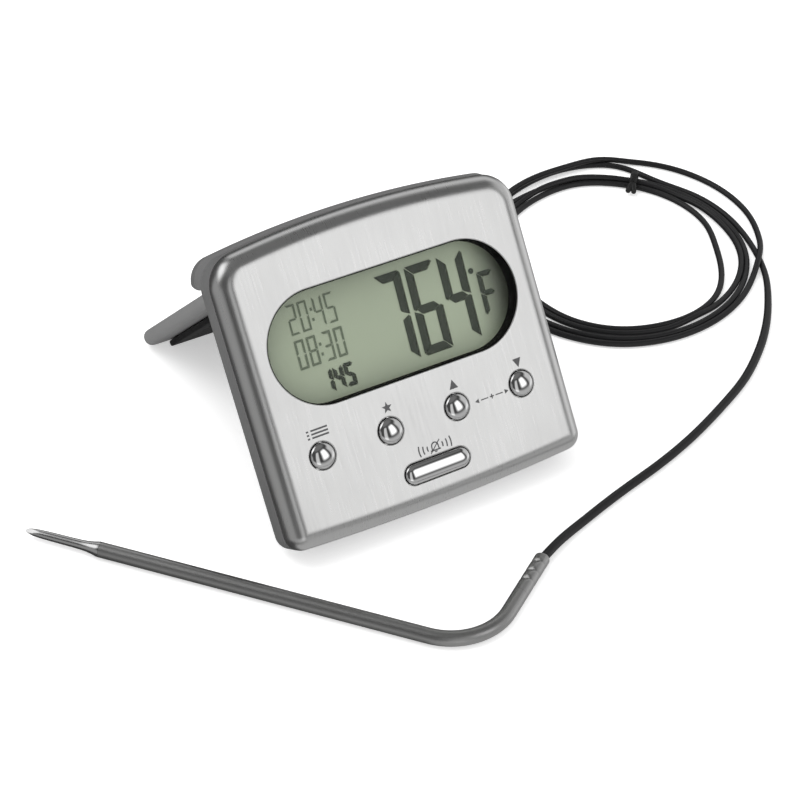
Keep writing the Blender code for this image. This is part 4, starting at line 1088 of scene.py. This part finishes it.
def make_stand():
    """The fold-out flap, a thick plate with round edges and two pin bores, and its grooved pad."""
    hinge = CASE @ at(0, *HINGE) @ Matrix.Rotation(STAND_FOLD, 4, "X")
    half, foot_half = STAND_HALF_WIDTHS
    thick = STAND_THICKNESS / 2
    corner_y = -STAND_LENGTH + STAND_CORNER
    outline = arc((-foot_half + STAND_CORNER, corner_y), STAND_CORNER, math.pi, 1.5 * math.pi, 14)
    outline += arc((foot_half - STAND_CORNER, corner_y), STAND_CORNER, -math.pi / 2, 0, 14)
    outline += [(half, thick), (-half, thick)]
    flap = rounded(loft([level(outline, z) for z in (-thick, thick)]), thick * 0.96, 8, 60)
    bores = [cut(rod(PIN_BORE, *span, 24), about("Y", 90))
             for span in mirrored((STAND_PIN_X, half + 0.001))]
    # the flap wears the lighter grey: painted light
    piece("stand_plate", combined(flap, bores, 30), STAND_PLASTIC_PAINTED_LIGHT, "stand_flap", body="stand", matrix=hinge)

    low_y, high_y = PAD_SPAN
    bottom = thick + TOUCH_GAP
    top = bottom + PAD_THICKNESS
    side = PAD_WIDTH / 2
    grooves = []
    groove_side, half_groove, margin = side - 0.004, 0.0006, 0.006
    for i in range(9):
        y = low_y + margin + i * (high_y - low_y - 2 * margin) / 8
        groove = block((-groove_side, y - half_groove, top - 0.0005),
                       (groove_side, y + half_groove, top + 0.001))
        grooves.append(cut(groove))
    base = rounded(block((-side, low_y, bottom), (side, high_y, top)), 0.0006, 4)
    piece("stand_grip", combined(base, grooves, 30), BLACK_RUBBER, "stand_pad", body="stand", matrix=hinge)


# ---------------------------------------------------------------- probe

def probe_layout():
    """Ends, directions and bend of the probe's centre line, in table coordinates."""
    height = PROBE_RADIUS + TABLE_GAP
    point, corner, end = [Vector((*place, height)) for place in (PROBE_POINT, PROBE_CORNER, PROBE_END)]
    in_direction = (corner - point).normalized()
    out_direction = (end - corner).normalized()
    turn = in_direction.angle(out_direction)
    tangent = PROBE_BEND * math.tan(turn / 2)
    return {"point": point, "end": end, "in_direction": in_direction, "out_direction": out_direction,
            "turn": turn, "bend_start": corner - in_direction * tangent}


def pointing(place, direction):
    turn = Vector(direction).to_track_quat("Z", "Y").to_matrix().to_4x4()
    return TABLE @ Matrix.Translation(place) @ turn


def make_shaft(layout):
    forward = layout["in_direction"]
    left = Vector((-forward.y, forward.x, 0))
    overlap = 0.00005
    path = [layout["point"] + forward * (TIP_LENGTH + overlap)]
    for i in range(33):
        angle = layout["turn"] * i / 32
        turned_by = forward * math.sin(angle) + left * (1 - math.cos(angle))
        path.append(layout["bend_start"] + PROBE_BEND * turned_by)
    path.append(layout["end"] - layout["out_direction"] * (CRIMP_LENGTH + overlap))
    shaft = tube("shaft", path, PROBE_RADIUS, 12, [1.0] * len(path))
    piece("steel_shaft", shaft, PROBE_STEEL, "probe_shaft", matrix=TABLE)


def make_tip(layout):
    """The thin front end, ground to a point on three sides, with its step up to the shaft."""
    profile = [(0, 0), (0.00030, 0.0001), (0.00080, 0.0010), (0.00108, 0.0026), (0.00124, 0.0048),
               (0.00132, 0.0080), (0.00138, 0.0140), (0.00146, 0.0176), (0.00160, 0.0194), (0.00186, 0.0210),
               (0.00214, 0.0222), (PROBE_RADIUS, 0.0230), (PROBE_RADIUS, TIP_LENGTH),
               (0.0012, TIP_LENGTH), (0.0011, 0.0150), (0.00075, 0.0060), (0, 0.0050)]
    tip = turned("tip", [(radius, -distance) for radius, distance in profile], 64)
    grinds = []
    for turn in (58, 178, 298):
        plane = about("Z", turn) @ at(0.00018, 0) @ about("Y", -16)
        grinds.append(cut(block((0, -0.003, -0.006), (0.004, 0.003, 0.002)), plane))
    piece("steel_tip", combined(tip, grinds, 30), TIP_STEEL, "probe_tip",
          matrix=pointing(layout["point"], -layout["in_direction"]))


def crimp_radius(distance, angle):
    """The crimp's radius: rolled off at its end, with three rings of two dimples and a flat."""
    end = min(distance / 0.0008, 1)
    radius = PROBE_RADIUS - 0.0005 * (1 - math.sqrt(1 - (1 - end) ** 2))
    sides = max(math.cos(2 * angle), 0)
    for spot in (0.0036, 0.0078, 0.0116):
        radius -= 0.00050 * math.exp(-((distance - spot) / 0.00075) ** 2) * sides ** 1.5
        radius -= 0.00010 * math.exp(-((distance - spot) / 0.00035) ** 2)
    return radius - 0.00022 * math.exp(-((distance - 0.0020) / 0.0030) ** 2) * sides


def make_crimp(layout):
    """The shaft's end, pressed onto the cord by three rings of dimples."""
    bm = bmesh.new()
    around, along = 64, 90
    angles = [2 * math.pi * k / around for k in range(around)]
    mouth = [new_ring(bm, level(circle((0, 0), radius, around), z))
             for radius, z in ((0.0016, 0.00005), (0.00145, -0.0002), (0.00145, -0.0030))]
    rings = mouth[::-1]
    for i in range(along + 1):
        distance = CRIMP_LENGTH * i / along
        radii = [crimp_radius(distance, angle) for angle in angles]
        rings.append(new_ring(bm, [(radius * math.cos(angle), radius * math.sin(angle), -distance)
                                   for radius, angle in zip(radii, angles)]))
    bridge(bm, rings)
    bm.faces.new(rings[0])
    bm.faces.new(rings[-1])
    place = pointing(layout["end"], layout["out_direction"]) @ about("Z", 70)
    piece("crimped_end", finish_mesh("crimp", bm, 45), PROBE_STEEL, "probe_crimp", matrix=place)


# ---------------------------------------------------------------- what stays from the CAD model

def dress_cad():
    looks = [(BLACK_PLASTIC, ("inner_frame", "piezo_buzzer", "probe_jack")), (LCD, ("lcd_panel",)),
             (SILICONE, ("zebra_strip", "keypad_membrane")), (BOARD, ("main_board",)),
             (BATTERY_STEEL, ("coin_cell",)), (BRASS, ("contact_leaf", "contact_clip", "plug_pin")),
             (CERAMIC, ("thermistor_bead",)), (SCREW_STEEL, ("hinge_pin_left", "hinge_pin_right")),
             (SCREW_STEEL, [f"board_screw_{i}" for i in range(1, 5)])]
    for material, names in looks:
        for name in names:
            for slot in frame["nodes"][name].material_slots:
                slot.material = material


make_camera()
make_studio()
make_table()
cord, cord_length, cord_exit = make_cord()
tie = make_tie()
plug_pieces = make_plug()
make_front()
make_window()
make_display()
paint_panel_end_shade()
make_housing()
make_screws()
make_cover()
make_buttons()
make_signs()
make_stand()
probe = probe_layout()
make_shaft(probe)
make_tip(probe)
make_crimp(probe)
dress_cad()
